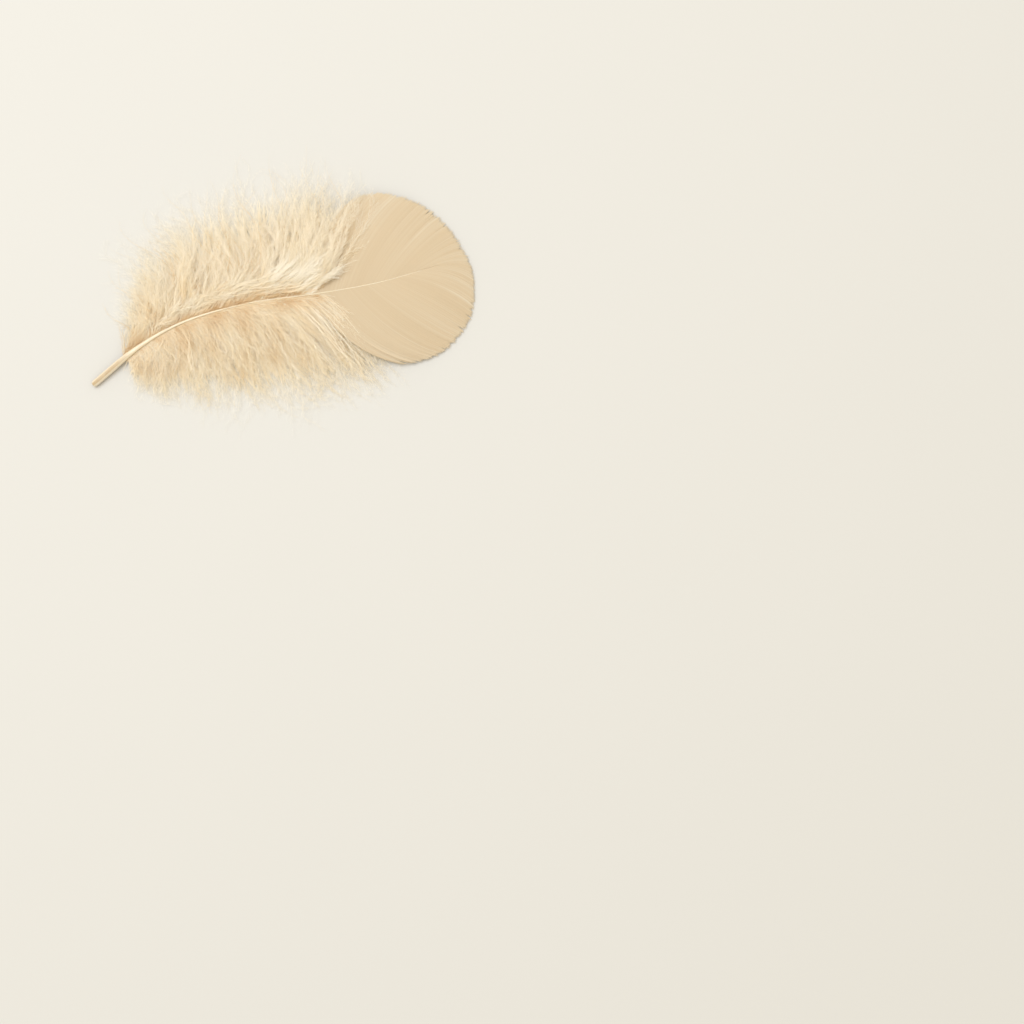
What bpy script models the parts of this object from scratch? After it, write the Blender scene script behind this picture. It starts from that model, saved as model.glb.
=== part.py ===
"""One turkey body feather, lying on a flat surface with its outer face up.

Drawing frame: +X from the quill's cut end towards the blade, +Y to the side that the shaft bows to,
+Z up, and the surface that the feather lies on at Z = 0. The shaft carries a flat, cupped blade at its tip
and soft locks of down along the rest. All of it grew as one piece, so all of it is one solid.
"""

import math
import random

import bmesh
import bpy
from mathutils import Matrix, Vector

MM = 0.001

# Where the middle of the whole feather's box lies in the drawing frame, in millimetres.
MIDDLE_X = 61.48
MIDDLE_Y = 10.16

# The shaft's centreline, from the quill's end to where it runs out in the blade, in millimetres.
SHAFT_ROUTE = (
    (0.0, 0.0, 1.0),
    (17.6, 7.4, 2.6),
    (34.0, 10.7, 5.0),
    (54.5, 10.4, 6.6),
    (74.0, 7.6, 6.8),
    (94.0, 5.7, 5.2),
    (113.0, 6.0, 2.6),
)
# The shaft's radius at even steps along it: a round bare quill that thins quickly, then a fine line.
SHAFT_RADII = (1.0, 0.97, 0.64, 0.48, 0.40, 0.35, 0.31, 0.28, 0.26, 0.24, 0.23, 0.22)
QUILL_END_RADIUS = 0.62
QUILL_END_LENGTH = 0.9
SHAFT_SIDES = 8
SHAFT_STEPS = 22
# The shaft's direction is measured over this short share of its length on each side of a point.
HEADING_STEP = 0.01
HEADING_LAST = 0.97

# The blade grows from this stretch of the shaft, given as shares of its length.
BLADE_FROM = 0.60
BLADE_TO = 0.985
# The share of that stretch where each side's barbs begin to hook together into a sheet.
BLADE_START = {1: 0.09, -1: 0.16}
BLADE_THICK = 0.6
# The blade's edge, from its left corner next to the down, round the tip in the middle of the list, to its
# right corner: x, y and height, in millimetres.
BLADE_EDGE = (
    (91.5, 35.0, 3.4),
    (103.0, 32.5, 2.3),
    (113.5, 26.0, 1.6),
    (120.5, 15.0, 1.2),
    (123.2, 1.5, 1.0),
    (119.5, -11.0, 1.1),
    (110.5, -18.8, 1.4),
    (99.5, -21.2, 2.2),
    (88.0, -20.0, 3.2),
)
BLADE_LEAVE_ANGLE = 60.0
# Where a barb of the blade bends, as a share of the straight way to the edge, and how the blade falls away
# to each side: above 1 it stays nearly level by the shaft and drops towards the edge.
BLADE_BEND = 0.5
BLADE_CUP = 1.7
BLADE_STEPS_ALONG = 18
BLADE_STEPS_ACROSS = 8
# Places along the edge where barbs have parted, as (side, step along the edge), and how deep the gap goes.
BLADE_SPLITS = ((1, 5), (1, 12), (-1, 4), (-1, 10), (-1, 14))
SPLIT_DEPTH = 0.06

# The down grows from this stretch of the shaft.
DOWN_FROM = 0.125
DOWN_TO = 0.71
# How far the down spreads on each side, from the quill to the blade: x and y, in millimetres.
DOWN_EDGE = {
    1: (
        (14.5, 15.5),
        (17.5, 25.5),
        (25.0, 36.5),
        (36.5, 43.5),
        (51.5, 46.0),
        (67.0, 45.5),
        (82.0, 43.5),
        (94.0, 37.5),
    ),
    -1: (
        (13.5, -1.5),
        (20.0, -9.5),
        (30.0, -15.5),
        (44.0, -20.0),
        (58.0, -23.5),
        (72.0, -26.0),
        (84.0, -26.0),
        (93.0, -22.5),
    ),
}
# The rows of locks, one entry for each row and side. A row grows from a stretch of the shaft's downy part,
# and its locks aim at a stretch of the edge, both as shares, and get a share called reach of the way there.
# Turn swings the aim, in degrees. A lock sets out at the angle leave from the shaft and comes in at the
# angle end, in degrees. It comes down to tip_height by the share settle of its length, and rise lifts its
# middle.
LOCK_ROWS = (
    {
        "name": "spread", "side": 1, "count": 15, "grows": (0.0, 1.0), "edge": (0.09, 1.0), "reach": 0.98,
        "turn": (0.0, 0.0), "leave": (40.0, 22.0, 18.0, 18.0), "end": (104.0, 92.0, 84.0, 66.0),
        "rise": 0.0, "tip_height": (1.2, 1.2), "settle": 0.55, "size": 1.0,
    },
    {
        "name": "base", "side": 1, "count": 3, "grows": (0.0, 0.10), "edge": (0.0, 0.10), "reach": 0.85,
        "turn": (0.0, 0.0), "leave": (74.0, 50.0), "end": (136.0, 116.0),
        "rise": 0.0, "tip_height": (1.2, 1.2), "settle": 0.8, "size": 0.8,
    },
    {
        "name": "over", "side": 1, "count": 7, "grows": (0.04, 0.96), "edge": (0.16, 0.98), "reach": 0.74,
        "turn": (0.0, 0.0), "leave": (26.0, 18.0, 16.0, 18.0), "end": (96.0, 84.0, 78.0, 70.0),
        "rise": 1.4, "tip_height": (1.9, 2.4, 2.9, 4.4), "settle": 1.0, "size": 0.88,
    },
    {
        "name": "tuft", "side": 1, "count": 4, "grows": (0.30, 0.88), "edge": (0.40, 0.94), "reach": 0.50,
        "turn": (-26.0, -38.0, -42.0), "leave": (14.0, 12.0, 12.0), "end": (48.0, 36.0, 26.0),
        "rise": 0.6, "tip_height": (4.6, 5.4, 5.6), "settle": 1.0, "size": 0.72,
    },
    {
        "name": "under", "side": 1, "count": 2, "grows": (0.35, 0.75), "edge": (0.45, 0.85), "reach": 0.60,
        "turn": (0.0, 0.0), "leave": (24.0, 20.0), "end": (80.0, 74.0),
        "rise": 0.0, "tip_height": (1.0, 1.0), "settle": 0.4, "size": 0.9,
    },
    {
        "name": "spread", "side": -1, "count": 14, "grows": (0.0, 0.96), "edge": (0.05, 1.0), "reach": 1.0,
        "turn": (0.0, 0.0), "leave": (64.0, 50.0, 42.0, 36.0), "end": (104.0, 86.0, 66.0, 48.0),
        "rise": 0.0, "tip_height": (1.2, 1.2), "settle": 0.55, "size": 1.0,
    },
    {
        "name": "over", "side": -1, "count": 7, "grows": (0.02, 0.88), "edge": (0.08, 0.97), "reach": 0.72,
        "turn": (0.0, 0.0), "leave": (58.0, 46.0, 38.0, 34.0), "end": (104.0, 84.0, 62.0, 46.0),
        "rise": 1.4, "tip_height": (2.0, 2.4, 2.4), "settle": 1.0, "size": 0.88,
    },
    {
        "name": "under", "side": -1, "count": 2, "grows": (0.35, 0.75), "edge": (0.45, 0.85), "reach": 0.60,
        "turn": (0.0, 0.0), "leave": (24.0, 20.0), "end": (70.0, 60.0),
        "rise": 0.0, "tip_height": (1.0, 1.0), "settle": 0.4, "size": 0.9,
    },
)
# A lock's cross-section is a flat lens, this large at its widest place on the longest lock.
LOCK_WIDTH = 9.6
LOCK_THICK = 3.2
SHORT_LOCK_SIZE = 0.52
LONG_LOCK = 42.0
LOCK_STEPS = 6
# Shares of the full width and thickness at even steps from root to tip.
LOCK_TAPER = (0.42, 0.66, 0.88, 1.0, 0.98, 0.74, 0.10)
# How far a lock keeps its first and its last direction, as shares of the straight way to its tip.
LEAVE_PULL = 0.44
END_PULL = 0.34
# A lock's root sits this far out from the shaft's middle and below it, as shares of the shaft's radius.
ROOT_ASIDE = 0.7
ROOT_BELOW = 1.0
# How far a lock may differ from its row: share of its reach, degrees, and millimetres of sideways wave.
REACH_SPREAD = 0.08
LEAVE_SPREAD = 5.0
WAVE = 0.9
SEED = 11

# Points closer than these are the same point, in millimetres.
SAME_CAP_POINT = 0.001
SAME_SHEET_POINT = 0.02

FLOOR_CUT_HALF = 120.0
FLOOR_CUT_DEEP = 30.0

FEATHER_COLOUR = (0.79, 0.62, 0.40, 1.0)
FEATHER_ROUGHNESS = 0.75


def clear_scene():
    for thing in list(bpy.data.objects):
        bpy.data.objects.remove(thing)


def spline(points, share):
    """A smooth curve through the points (Catmull-Rom), read at a share from 0 to 1."""
    points = [Vector(p) for p in points]
    place = min(max(share, 0.0), 1.0) * (len(points) - 1)
    i = min(int(place), len(points) - 2)
    t = place - i
    before = points[i - 1] if i else 2 * points[0] - points[1]
    after = points[i + 2] if i + 2 < len(points) else 2 * points[-1] - points[-2]
    a, b = points[i], points[i + 1]
    return 0.5 * (
        2 * a
        + (b - before) * t
        + (2 * before - 5 * a + 4 * b - after) * t**2
        + (3 * (a - b) + after - before) * t**3
    )


def read(values, share):
    """The value at a share along a short list, on a smooth curve."""
    return spline([(v, 0.0) for v in values], share).x


def arc(start, bend, end, share):
    """A point of the smooth arc that leaves start towards bend and reaches end from there."""
    return start * (1 - share) ** 2 + bend * 2 * share * (1 - share) + end * share**2


def double_arc(start, leaving, coming, end, share):
    """A point of the smooth curve that leaves start towards leaving and comes in to end from coming."""
    first = arc(start, leaving, coming, share)
    return first.lerp(arc(leaving, coming, end, share), share)


def toward(angle):
    """A step of length one seen from above, at an angle in radians from +X."""
    return Vector((math.cos(angle), math.sin(angle)))


def between(stretch, share):
    first, last = stretch
    return first + (last - first) * share


def shaft_at(share):
    return spline(SHAFT_ROUTE, share)


def shaft_heading(share):
    """The shaft's direction seen from above, in radians from +X."""
    step = shaft_at(share + HEADING_STEP) - shaft_at(share - HEADING_STEP)
    return math.atan2(step.y, step.x)


def in_place(point):
    """A point of the drawing, in millimetres, as a place in the part's own frame, in metres."""
    return Vector((point[0] - MIDDLE_X, point[1] - MIDDLE_Y, point[2])) * MM


def helper(name, data):
    """An object that only shapes others."""
    thing = bpy.data.objects.new(name, data)
    bpy.context.scene.collection.objects.link(thing)
    thing.hide_render = True
    thing.display_type = "WIRE"
    return thing


def lens_profile():
    """The outline of a lock's cross-section, which the lock curves are swept with."""
    half_width = LOCK_WIDTH / 2 * MM
    half_thick = LOCK_THICK / 2 * MM
    corners = ((1, 0), (0.5, 1), (-0.5, 1), (-1, 0), (-0.5, -1), (0.5, -1))
    data = bpy.data.curves.new("lock_profile", "CURVE")
    data.dimensions = "2D"
    line = data.splines.new("POLY")
    line.points.add(len(corners) - 1)
    for point, (x, y) in zip(line.points, corners):
        point.co = (x * half_width, y * half_thick, 0.0, 1.0)
    line.use_cyclic_u = True
    return helper("lock_profile", data)


def swept(name, points, radii, profile=None, sides=SHAFT_SIDES):
    """A closed mesh swept along the points, round unless it has a profile."""
    data = bpy.data.curves.new(name, "CURVE")
    data.dimensions = "3D"
    data.twist_mode = "Z_UP"
    data.use_fill_caps = True
    if profile is None:
        data.bevel_depth = MM
        data.bevel_resolution = sides // 2 - 2
    else:
        data.bevel_mode = "OBJECT"
        data.bevel_object = profile
    line = data.splines.new("POLY")
    line.points.add(len(points) - 1)
    for node, point, radius in zip(line.points, points, radii):
        node.co = (*in_place(point), 1.0)
        node.radius = radius
    curve = bpy.data.objects.new(name + "_curve", data)
    bpy.context.scene.collection.objects.link(curve)
    graph = bpy.context.evaluated_depsgraph_get()
    mesh = bpy.data.meshes.new_from_object(curve.evaluated_get(graph))
    bpy.data.objects.remove(curve)
    return close_caps(mesh)


def close_caps(mesh):
    """The same mesh with its caps joined to its sides and its faces pointing out."""
    shell = bmesh.new()
    shell.from_mesh(mesh)
    bmesh.ops.remove_doubles(shell, verts=shell.verts, dist=SAME_CAP_POINT * MM)
    bmesh.ops.recalc_face_normals(shell, faces=shell.faces)
    shell.to_mesh(mesh)
    shell.free()
    return mesh


def shaft_mesh():
    """The quill and shaft: a round rod with a rounded cut end, thinning all the way into the blade."""
    shares = [i / SHAFT_STEPS for i in range(SHAFT_STEPS + 1)]
    points = [shaft_at(s) for s in shares]
    radii = [read(SHAFT_RADII, s) for s in shares]
    end = points[0]
    back = (points[1] - end).normalized() * QUILL_END_LENGTH
    return swept("shaft", [end, end + back, *points[1:]], [QUILL_END_RADIUS, radii[0], *radii[1:]])


def blade_point(side, along, across):
    """A point of the blade: along runs from the down to the tip, across from the shaft to the edge.

    Each barb is a smooth arc that leaves the shaft at an angle and leans towards the tip of the feather.
    """
    split = (side, round(along * BLADE_STEPS_ALONG)) in BLADE_SPLITS
    along = between((BLADE_START[side], 1.0), along)
    share = between((BLADE_FROM, BLADE_TO), along)
    root = shaft_at(share)
    edge = spline(BLADE_EDGE, 0.5 * along if side > 0 else 1 - 0.5 * along)
    if split:
        edge = edge.lerp(root, SPLIT_DEPTH)
    leave = side * math.radians(BLADE_LEAVE_ANGLE) * (1 - along**2)
    heading = shaft_heading(min(share, HEADING_LAST)) + leave
    reach = (edge.xy - root.xy).length
    bend = root.xy + toward(heading) * reach * BLADE_BEND
    flat = arc(root.xy, bend, edge.xy, across)
    height = root.z + (edge.z - root.z) * across**BLADE_CUP
    return Vector((flat.x, flat.y, height))


def blade_mesh():
    """The flat blade at the tip: a cupped sheet, both sides of which meet along the shaft."""
    sheet = bmesh.new()
    bmesh.ops.create_grid(sheet, x_segments=BLADE_STEPS_ACROSS, y_segments=BLADE_STEPS_ALONG, size=1.0)
    for vert in sheet.verts:
        across, along = vert.co.x, (vert.co.y + 1) / 2
        side = 1 if across > 0 else -1
        vert.co = in_place(blade_point(side, along, abs(across)))
    bmesh.ops.remove_doubles(sheet, verts=sheet.verts, dist=SAME_SHEET_POINT * MM)
    bmesh.ops.recalc_face_normals(sheet, faces=sheet.faces)
    bmesh.ops.solidify(sheet, geom=sheet.faces[:], thickness=BLADE_THICK * MM)
    bmesh.ops.recalc_face_normals(sheet, faces=sheet.faces)
    mesh = bpy.data.meshes.new("blade")
    sheet.to_mesh(mesh)
    sheet.free()
    return mesh


def lock_points(row, place, chance):
    """A lock's centreline, from its root on the shaft to its tip at the edge of the down."""
    side = row["side"]
    share = between((DOWN_FROM, DOWN_TO), between(row["grows"], place))
    radius = read(SHAFT_RADII, share)
    along = shaft_heading(share)
    centre = shaft_at(share)
    root = centre.xy + toward(along + side * math.pi / 2) * radius * ROOT_ASIDE
    start_height = centre.z - radius * ROOT_BELOW
    edge = spline(DOWN_EDGE[side], between(row["edge"], place))
    reach = row["reach"] * (1 + chance.uniform(-REACH_SPREAD, REACH_SPREAD))
    way = (edge - root) * reach
    way.rotate(Matrix.Rotation(side * math.radians(read(row["turn"], place)), 2))
    tip = root + way
    leave = read(row["leave"], place) + chance.uniform(-LEAVE_SPREAD, LEAVE_SPREAD)
    end = read(row["end"], place) + chance.uniform(-LEAVE_SPREAD, LEAVE_SPREAD)
    leaving = root + toward(along + side * math.radians(leave)) * way.length * LEAVE_PULL
    coming = tip - toward(along + side * math.radians(end)) * way.length * END_PULL
    wave = Vector((-way.y, way.x)).normalized() * WAVE * chance.uniform(-1, 1)
    points = []
    for step in range(LOCK_STEPS + 1):
        t = step / LOCK_STEPS
        flat = double_arc(root, leaving, coming, tip, t) + wave * math.sin(2 * math.pi * t)
        fall = min(1.0, t / row["settle"])
        drop = read(row["tip_height"], place) - start_height
        height = start_height + drop * (fall * fall * (3 - 2 * fall))
        height += row["rise"] * math.sin(math.pi * t) ** 2
        points.append(Vector((flat.x, flat.y, height)))
    return points


def lock_meshes(profile):
    """Every lock of down, row by row, each a little different from the next."""
    chance = random.Random(SEED)
    for row in LOCK_ROWS:
        for i in range(row["count"]):
            points = lock_points(row, i / (row["count"] - 1), chance)
            length = min(1.0, (points[-1] - points[0]).length / LONG_LOCK)
            size = row["size"] * (SHORT_LOCK_SIZE + (1 - SHORT_LOCK_SIZE) * length)
            yield swept(f"{row['name']}_lock", points, [size * taper for taper in LOCK_TAPER], profile)


def floor_cutter():
    """A block under the surface that the feather lies on: its lowest locks are pressed flat there."""
    block = bmesh.new()
    bmesh.ops.create_cube(block, size=1.0)
    size = Vector((FLOOR_CUT_HALF * 2, FLOOR_CUT_HALF * 2, FLOOR_CUT_DEEP)) * MM
    bmesh.ops.scale(block, vec=size, verts=block.verts)
    bmesh.ops.translate(block, vec=(0.0, 0.0, -size.z / 2), verts=block.verts)
    mesh = bpy.data.meshes.new("floor_cutter")
    block.to_mesh(mesh)
    block.free()
    return helper("floor_cutter", mesh)


def apply_modifiers(thing):
    graph = bpy.context.evaluated_depsgraph_get()
    shaped = bpy.data.meshes.new_from_object(thing.evaluated_get(graph))
    thing.modifiers.clear()
    thing.data = shaped


def outer_skin(mesh):
    """Takes out the small closed pockets that crossing locks shut in, so that only the outer skin is left."""
    shell = bmesh.new()
    shell.from_mesh(mesh)
    left = set(shell.faces)
    skins = []
    while left:
        reached = [left.pop()]
        skin = []
        while reached:
            face = reached.pop()
            skin.append(face)
            near = {f for edge in face.edges for f in edge.link_faces if f in left}
            left -= near
            reached.extend(near)
        skins.append(skin)
    skins.sort(key=len)
    for skin in skins[:-1]:
        bmesh.ops.delete(shell, geom=skin, context="FACES")
    bmesh.ops.triangulate(shell, faces=shell.faces)
    shell.to_mesh(mesh)
    shell.free()


def feather_material():
    material = bpy.data.materials.new("cream_feather")
    material.use_nodes = True
    shader = material.node_tree.nodes["Principled BSDF"]
    shader.inputs["Base Color"].default_value = FEATHER_COLOUR
    shader.inputs["Roughness"].default_value = FEATHER_ROUGHNESS
    shader.inputs["Metallic"].default_value = 0.0
    return material


def build():
    clear_scene()
    profile = lens_profile()
    grown = bpy.data.collections.new("grown_from_shaft")
    bpy.context.scene.collection.children.link(grown)
    for i, mesh in enumerate([blade_mesh(), *lock_meshes(profile)]):
        piece = bpy.data.objects.new(f"grown_{i:02d}", mesh)
        piece.hide_render = True
        piece.display_type = "WIRE"
        grown.objects.link(piece)

    feather = bpy.data.objects.new("feather", shaft_mesh())
    bpy.context.scene.collection.objects.link(feather)
    feather.data.materials.append(feather_material())
    join = feather.modifiers.new("join", "BOOLEAN")
    join.operation = "UNION"
    join.operand_type = "COLLECTION"
    join.collection = grown
    join.solver = "EXACT"
    apply_modifiers(feather)
    outer_skin(feather.data)
    press = feather.modifiers.new("press_flat", "BOOLEAN")
    press.operation = "DIFFERENCE"
    press.object = floor_cutter()
    press.solver = "EXACT"
    apply_modifiers(feather)


build()
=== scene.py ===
# %% [markdown]
# # A turkey feather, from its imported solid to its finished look
#
# A small cream body feather lies on pale paper with its outer face up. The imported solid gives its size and
# where each part lies. This lesson dresses it: a horn quill, a smooth blade of close barbs at the tip, and
# soft down along the rest. It works in millimetres on a drawing of the feather and moves each finished mesh
# into the part's own frame, in metres, at the very end.

# %% Load the frame
import math
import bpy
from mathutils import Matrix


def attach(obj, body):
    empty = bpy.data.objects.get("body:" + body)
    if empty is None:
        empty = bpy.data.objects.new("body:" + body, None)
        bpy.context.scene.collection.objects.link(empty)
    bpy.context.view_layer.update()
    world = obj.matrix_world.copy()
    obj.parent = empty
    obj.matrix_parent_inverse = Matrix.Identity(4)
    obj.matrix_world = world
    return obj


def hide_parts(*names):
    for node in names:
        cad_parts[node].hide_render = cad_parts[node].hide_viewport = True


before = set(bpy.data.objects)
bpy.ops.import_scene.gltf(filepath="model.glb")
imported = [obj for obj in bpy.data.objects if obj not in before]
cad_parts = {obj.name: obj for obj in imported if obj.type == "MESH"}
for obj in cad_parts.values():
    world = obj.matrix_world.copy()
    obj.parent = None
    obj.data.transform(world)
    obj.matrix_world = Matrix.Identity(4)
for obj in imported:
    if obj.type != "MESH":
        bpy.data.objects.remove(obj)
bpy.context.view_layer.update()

from types import SimpleNamespace

import bmesh
import bpy
import numpy as np
from mathutils import Vector

MM = 0.001

# %% [markdown]
# ## The camera
#
# The photograph looks straight down. The feather lies at its upper left, turned 16 degrees from level, and
# one pixel covers 0.31 mm. A long lens well above the paper gives the same flat view without a shift: the
# camera stands over the point of the paper that the picture's middle shows, and turns until the feather has
# the same slant.

# %% The drawing frame and the camera
DRAWING_MIDDLE = Vector((61.48, 10.16))
SLANT = math.radians(16.0)
PICTURE_PIXELS = 1024
MM_PER_PIXEL = 0.31
QUILL_END_PIXEL = Vector((92.0, 384.5))
LENS = 85.0
SENSOR = 36.0
FARTHEST_SEEN = 20.0
# Pixels are measured on the feather, about this far above the paper.
MEASURED_HEIGHT = 3.0

picture_right = Vector((math.cos(SLANT), -math.sin(SLANT)))
picture_up = Vector((math.sin(SLANT), math.cos(SLANT)))


def pixel_place(x, y):
    """The point of the drawing, in millimetres, that a pixel of the photograph shows."""
    across = (x - QUILL_END_PIXEL.x) * MM_PER_PIXEL
    up = (QUILL_END_PIXEL.y - y) * MM_PER_PIXEL
    return picture_right * across + picture_up * up


picture_middle = pixel_place(PICTURE_PIXELS / 2, PICTURE_PIXELS / 2) - DRAWING_MIDDLE
distance = PICTURE_PIXELS * MM_PER_PIXEL * LENS / SENSOR + MEASURED_HEIGHT
camera_data = bpy.data.cameras.new("camera")
camera_data.lens = LENS
camera_data.sensor_width = SENSOR
camera_data.clip_end = FARTHEST_SEEN
camera = bpy.data.objects.new("camera", camera_data)
camera.location = Vector((picture_middle.x, picture_middle.y, distance)) * MM
camera.rotation_euler = (0.0, 0.0, -SLANT)
bpy.context.scene.collection.objects.link(camera)
bpy.context.scene.camera = camera
print("camera over", tuple(round(c, 3) for c in camera.location))

# %% [markdown]
# ## The paper
#
# The feather lies on smooth off-white paper, and nothing on it may draw the eye. One large grid square and a
# plain colour are enough, with the faintest unevenness from a noise texture. Three helpers set a node's
# sockets, add a colour ramp and start a material, and every later finish uses them too. A number that is the
# same all over a surface goes on the shader's own socket.

# %% Node helpers and the paper
PAPER_COLOUR = (0.664, 0.650, 0.605)
PAPER_SHADE = 0.985
PAPER_SIDE = 6.0


def set_inputs(node, **inputs):
    """Sets a node's unlinked inputs by name, with _ in place of a space."""
    for name, value in inputs.items():
        node.inputs[name.replace("_", " ")].default_value = value
    return node


def add_ramp(tree, stops, source):
    """A colour ramp with these stops, read from another node's output."""
    ramp = tree.nodes.new("ShaderNodeValToRGB")
    while len(ramp.color_ramp.elements) < len(stops):
        ramp.color_ramp.elements.new(0.5)
    for stop, (position, colour) in zip(ramp.color_ramp.elements, stops):
        stop.position = position
        stop.color = (*colour, 1.0)
    tree.links.new(source, ramp.inputs["Fac"])
    return ramp


def new_material(name, roughness, gloss):
    """A node material that isn't metal, with its tree and its Principled shader."""
    material = bpy.data.materials.new(name)
    material.use_nodes = True
    tree = material.node_tree
    shader = tree.nodes["Principled BSDF"]
    set_inputs(shader, Metallic=0.0, Roughness=roughness, Specular_IOR_Level=gloss)
    return material, tree, shader


paper_material, tree, shader = new_material("warm_white_paper", roughness=0.9, gloss=0.2)
place = tree.nodes.new("ShaderNodeTexCoord")
grain = set_inputs(tree.nodes.new("ShaderNodeTexNoise"), Scale=9.0, Detail=3.0)
tree.links.new(place.outputs["Object"], grain.inputs["Vector"])
paper_stops = ((0.0, [c * PAPER_SHADE for c in PAPER_COLOUR]), (1.0, PAPER_COLOUR))
tint = add_ramp(tree, paper_stops, grain.outputs["Fac"])
tree.links.new(tint.outputs["Color"], shader.inputs["Base Color"])

sheet = bmesh.new()
bmesh.ops.create_grid(sheet, x_segments=1, y_segments=1, size=PAPER_SIDE / 2)
paper_mesh = bpy.data.meshes.new("paper")
sheet.to_mesh(paper_mesh)
sheet.free()
paper = bpy.data.objects.new("paper", paper_mesh)
paper.data.materials.append(paper_material)
bpy.context.scene.collection.objects.link(paper)
print("paper", PAPER_SIDE, "m wide")

# %% [markdown]
# ## The light
#
# The photograph has soft daylight from its upper left, and its shadows are weak and warm. One large round
# lamp gives the direction, and a pale sky fills the rest. The sky is warm and the lamp a little cooler: what
# the lamp reaches then looks neutral, and what it misses stays warm. The view is set to Standard, because it
# keeps a pale colour as it was chosen.

# %% Lamp, sky and view
KEY_STRENGTH = 12.5
KEY_COLOUR = (0.85, 0.90, 1.0)
KEY_SIDE = 1.0
KEY_DISTANCE = 1.3
KEY_RISE = math.radians(67.0)
SKY_COLOUR = (1.0, 0.93, 0.80)
SKY_STRENGTH = 0.84

key_data = bpy.data.lights.new("key", "AREA")
key_data.shape = "DISK"
key_data.size = KEY_SIDE
key_data.energy = KEY_STRENGTH
key_data.color = KEY_COLOUR
key = bpy.data.objects.new("key", key_data)
key_from = (picture_up - picture_right).normalized() * math.cos(KEY_RISE)
key.location = Vector((key_from.x, key_from.y, math.sin(KEY_RISE))) * KEY_DISTANCE
key.rotation_euler = (-key.location).to_track_quat("-Z", "Y").to_euler()
bpy.context.scene.collection.objects.link(key)

world = bpy.data.worlds.new("sky")
world.use_nodes = True
set_inputs(world.node_tree.nodes["Background"], Color=(*SKY_COLOUR, 1.0), Strength=SKY_STRENGTH)
bpy.context.scene.world = world
bpy.context.scene.view_settings.view_transform = "Standard"
print("lit from", tuple(round(c, 2) for c in key.location))

# %% [markdown]
# ## Smooth curves from a few points
#
# Everything on a feather follows a curve: the shaft bows, and each barb is an arc. A short list of points and
# one function that runs smoothly through them draws them all. It works on whole arrays, so that one call
# places thousands of barbs.

# %% Curves
SHAFT_ROUTE = (
    (0.0, 0.0, 1.0),
    (17.6, 7.4, 2.6),
    (34.0, 10.7, 5.0),
    (54.5, 10.4, 6.6),
    (74.0, 7.6, 6.8),
    (94.0, 5.7, 5.2),
    (113.0, 6.0, 2.6),
)
SHAFT_RADII = (1.07, 1.02, 0.64, 0.45, 0.35, 0.27, 0.22, 0.185, 0.155, 0.13, 0.10, 0.08)
HEADING_STEP = 0.01
SHAFT_POINTS = 200


def read(points, share):
    """The smooth curve through the points, read at shares from 0 to 1 along the list."""
    points = np.array(points, float)
    share = np.clip(np.asarray(share, float), 0.0, 1.0) * (len(points) - 1)
    if points.ndim == 1:
        points = points[:, None]
    first = np.minimum(share.astype(int), len(points) - 2)
    t = (share - first)[..., None]
    padded = np.vstack([2 * points[0] - points[1], points, 2 * points[-1] - points[-2]])
    before, a, b, after = (padded[first + k] for k in range(4))
    found = 0.5 * (
        2 * a
        + (b - before) * t
        + (2 * before - 5 * a + 4 * b - after) * t**2
        + (3 * (a - b) + after - before) * t**3
    )
    return found[..., 0] if found.shape[-1] == 1 else found


def shaft_heading(share):
    """The shaft's direction seen from above, in radians from +X."""
    share = np.clip(share, HEADING_STEP, 1 - HEADING_STEP)
    step = read(SHAFT_ROUTE, share + HEADING_STEP) - read(SHAFT_ROUTE, share - HEADING_STEP)
    return np.arctan2(step[..., 1], step[..., 0])


def toward(angle):
    """Unit vectors on the paper that point along the angles."""
    return np.stack([np.cos(angle), np.sin(angle)], -1)


def unit(vectors):
    """The vectors at length 1."""
    return vectors / np.maximum(np.linalg.norm(vectors, axis=-1, keepdims=True), 1e-9)


def to_part(points):
    """Drawing points, in millimetres, as places in the part's own frame, in metres."""
    return (np.asarray(points, float) - (DRAWING_MIDDLE.x, DRAWING_MIDDLE.y, 0.0)) * MM


shaft_line = read(SHAFT_ROUTE, np.linspace(0.0, 1.0, SHAFT_POINTS))
SHAFT_LENGTH = float(np.linalg.norm(np.diff(shaft_line, axis=0), axis=1).sum())
print("the shaft is", round(SHAFT_LENGTH, 1), "mm long")

# %% [markdown]
# ## The shaft
#
# The quill and the shaft are one rod of horn, round where it is bare and thinner all the way to the tip. Its
# underside has a groove once the barbs begin. A circle that is extruded ring by ring along the curve makes
# it, and moving each ring's lowest points up presses the groove in. The cut end is closed with a small
# hollow, as the mouth of a real quill is. Each point gets its place on a map: from 0 at the underside to 1 on
# top across it, and from quill to tip up it.

# %% The shaft's rings
SHAFT_RINGS = 150
GROOVE_FROM = 0.13
GROOVE_FADE = 0.05
GROOVE_DEPTH = 0.45
# The quill's cut end, ring by ring: how far along, in millimetres, and the share of the full radius.
QUILL_MOUTH = ((0.9, 0.30), (0.25, 0.42), (0.0, 0.60), (0.12, 0.78), (0.45, 0.90), (1.0, 0.98))
# After the mouth the rings go on from this share of the way.
RINGS_FROM = 0.016
# The last rings shrink by this slope, so that the tip is blunt and not a needle.
BLUNT_END = 1.02
BLUNT_LENGTH = 0.04


def shaft_rings():
    """Each ring of the shaft: its share of the way, its radius and how deep its groove is."""
    for along, share_of_radius in QUILL_MOUTH:
        yield along / SHAFT_LENGTH, share_of_radius * SHAFT_RADII[0], 0.0
    for share in np.linspace(RINGS_FROM, 1.0, SHAFT_RINGS):
        groove = GROOVE_DEPTH * min(1.0, max(0.0, (share - GROOVE_FROM) / GROOVE_FADE))
        blunt = min(1.0, (BLUNT_END - share) / BLUNT_LENGTH)
        yield share, float(read(SHAFT_RADII, share)) * blunt, groove


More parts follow.
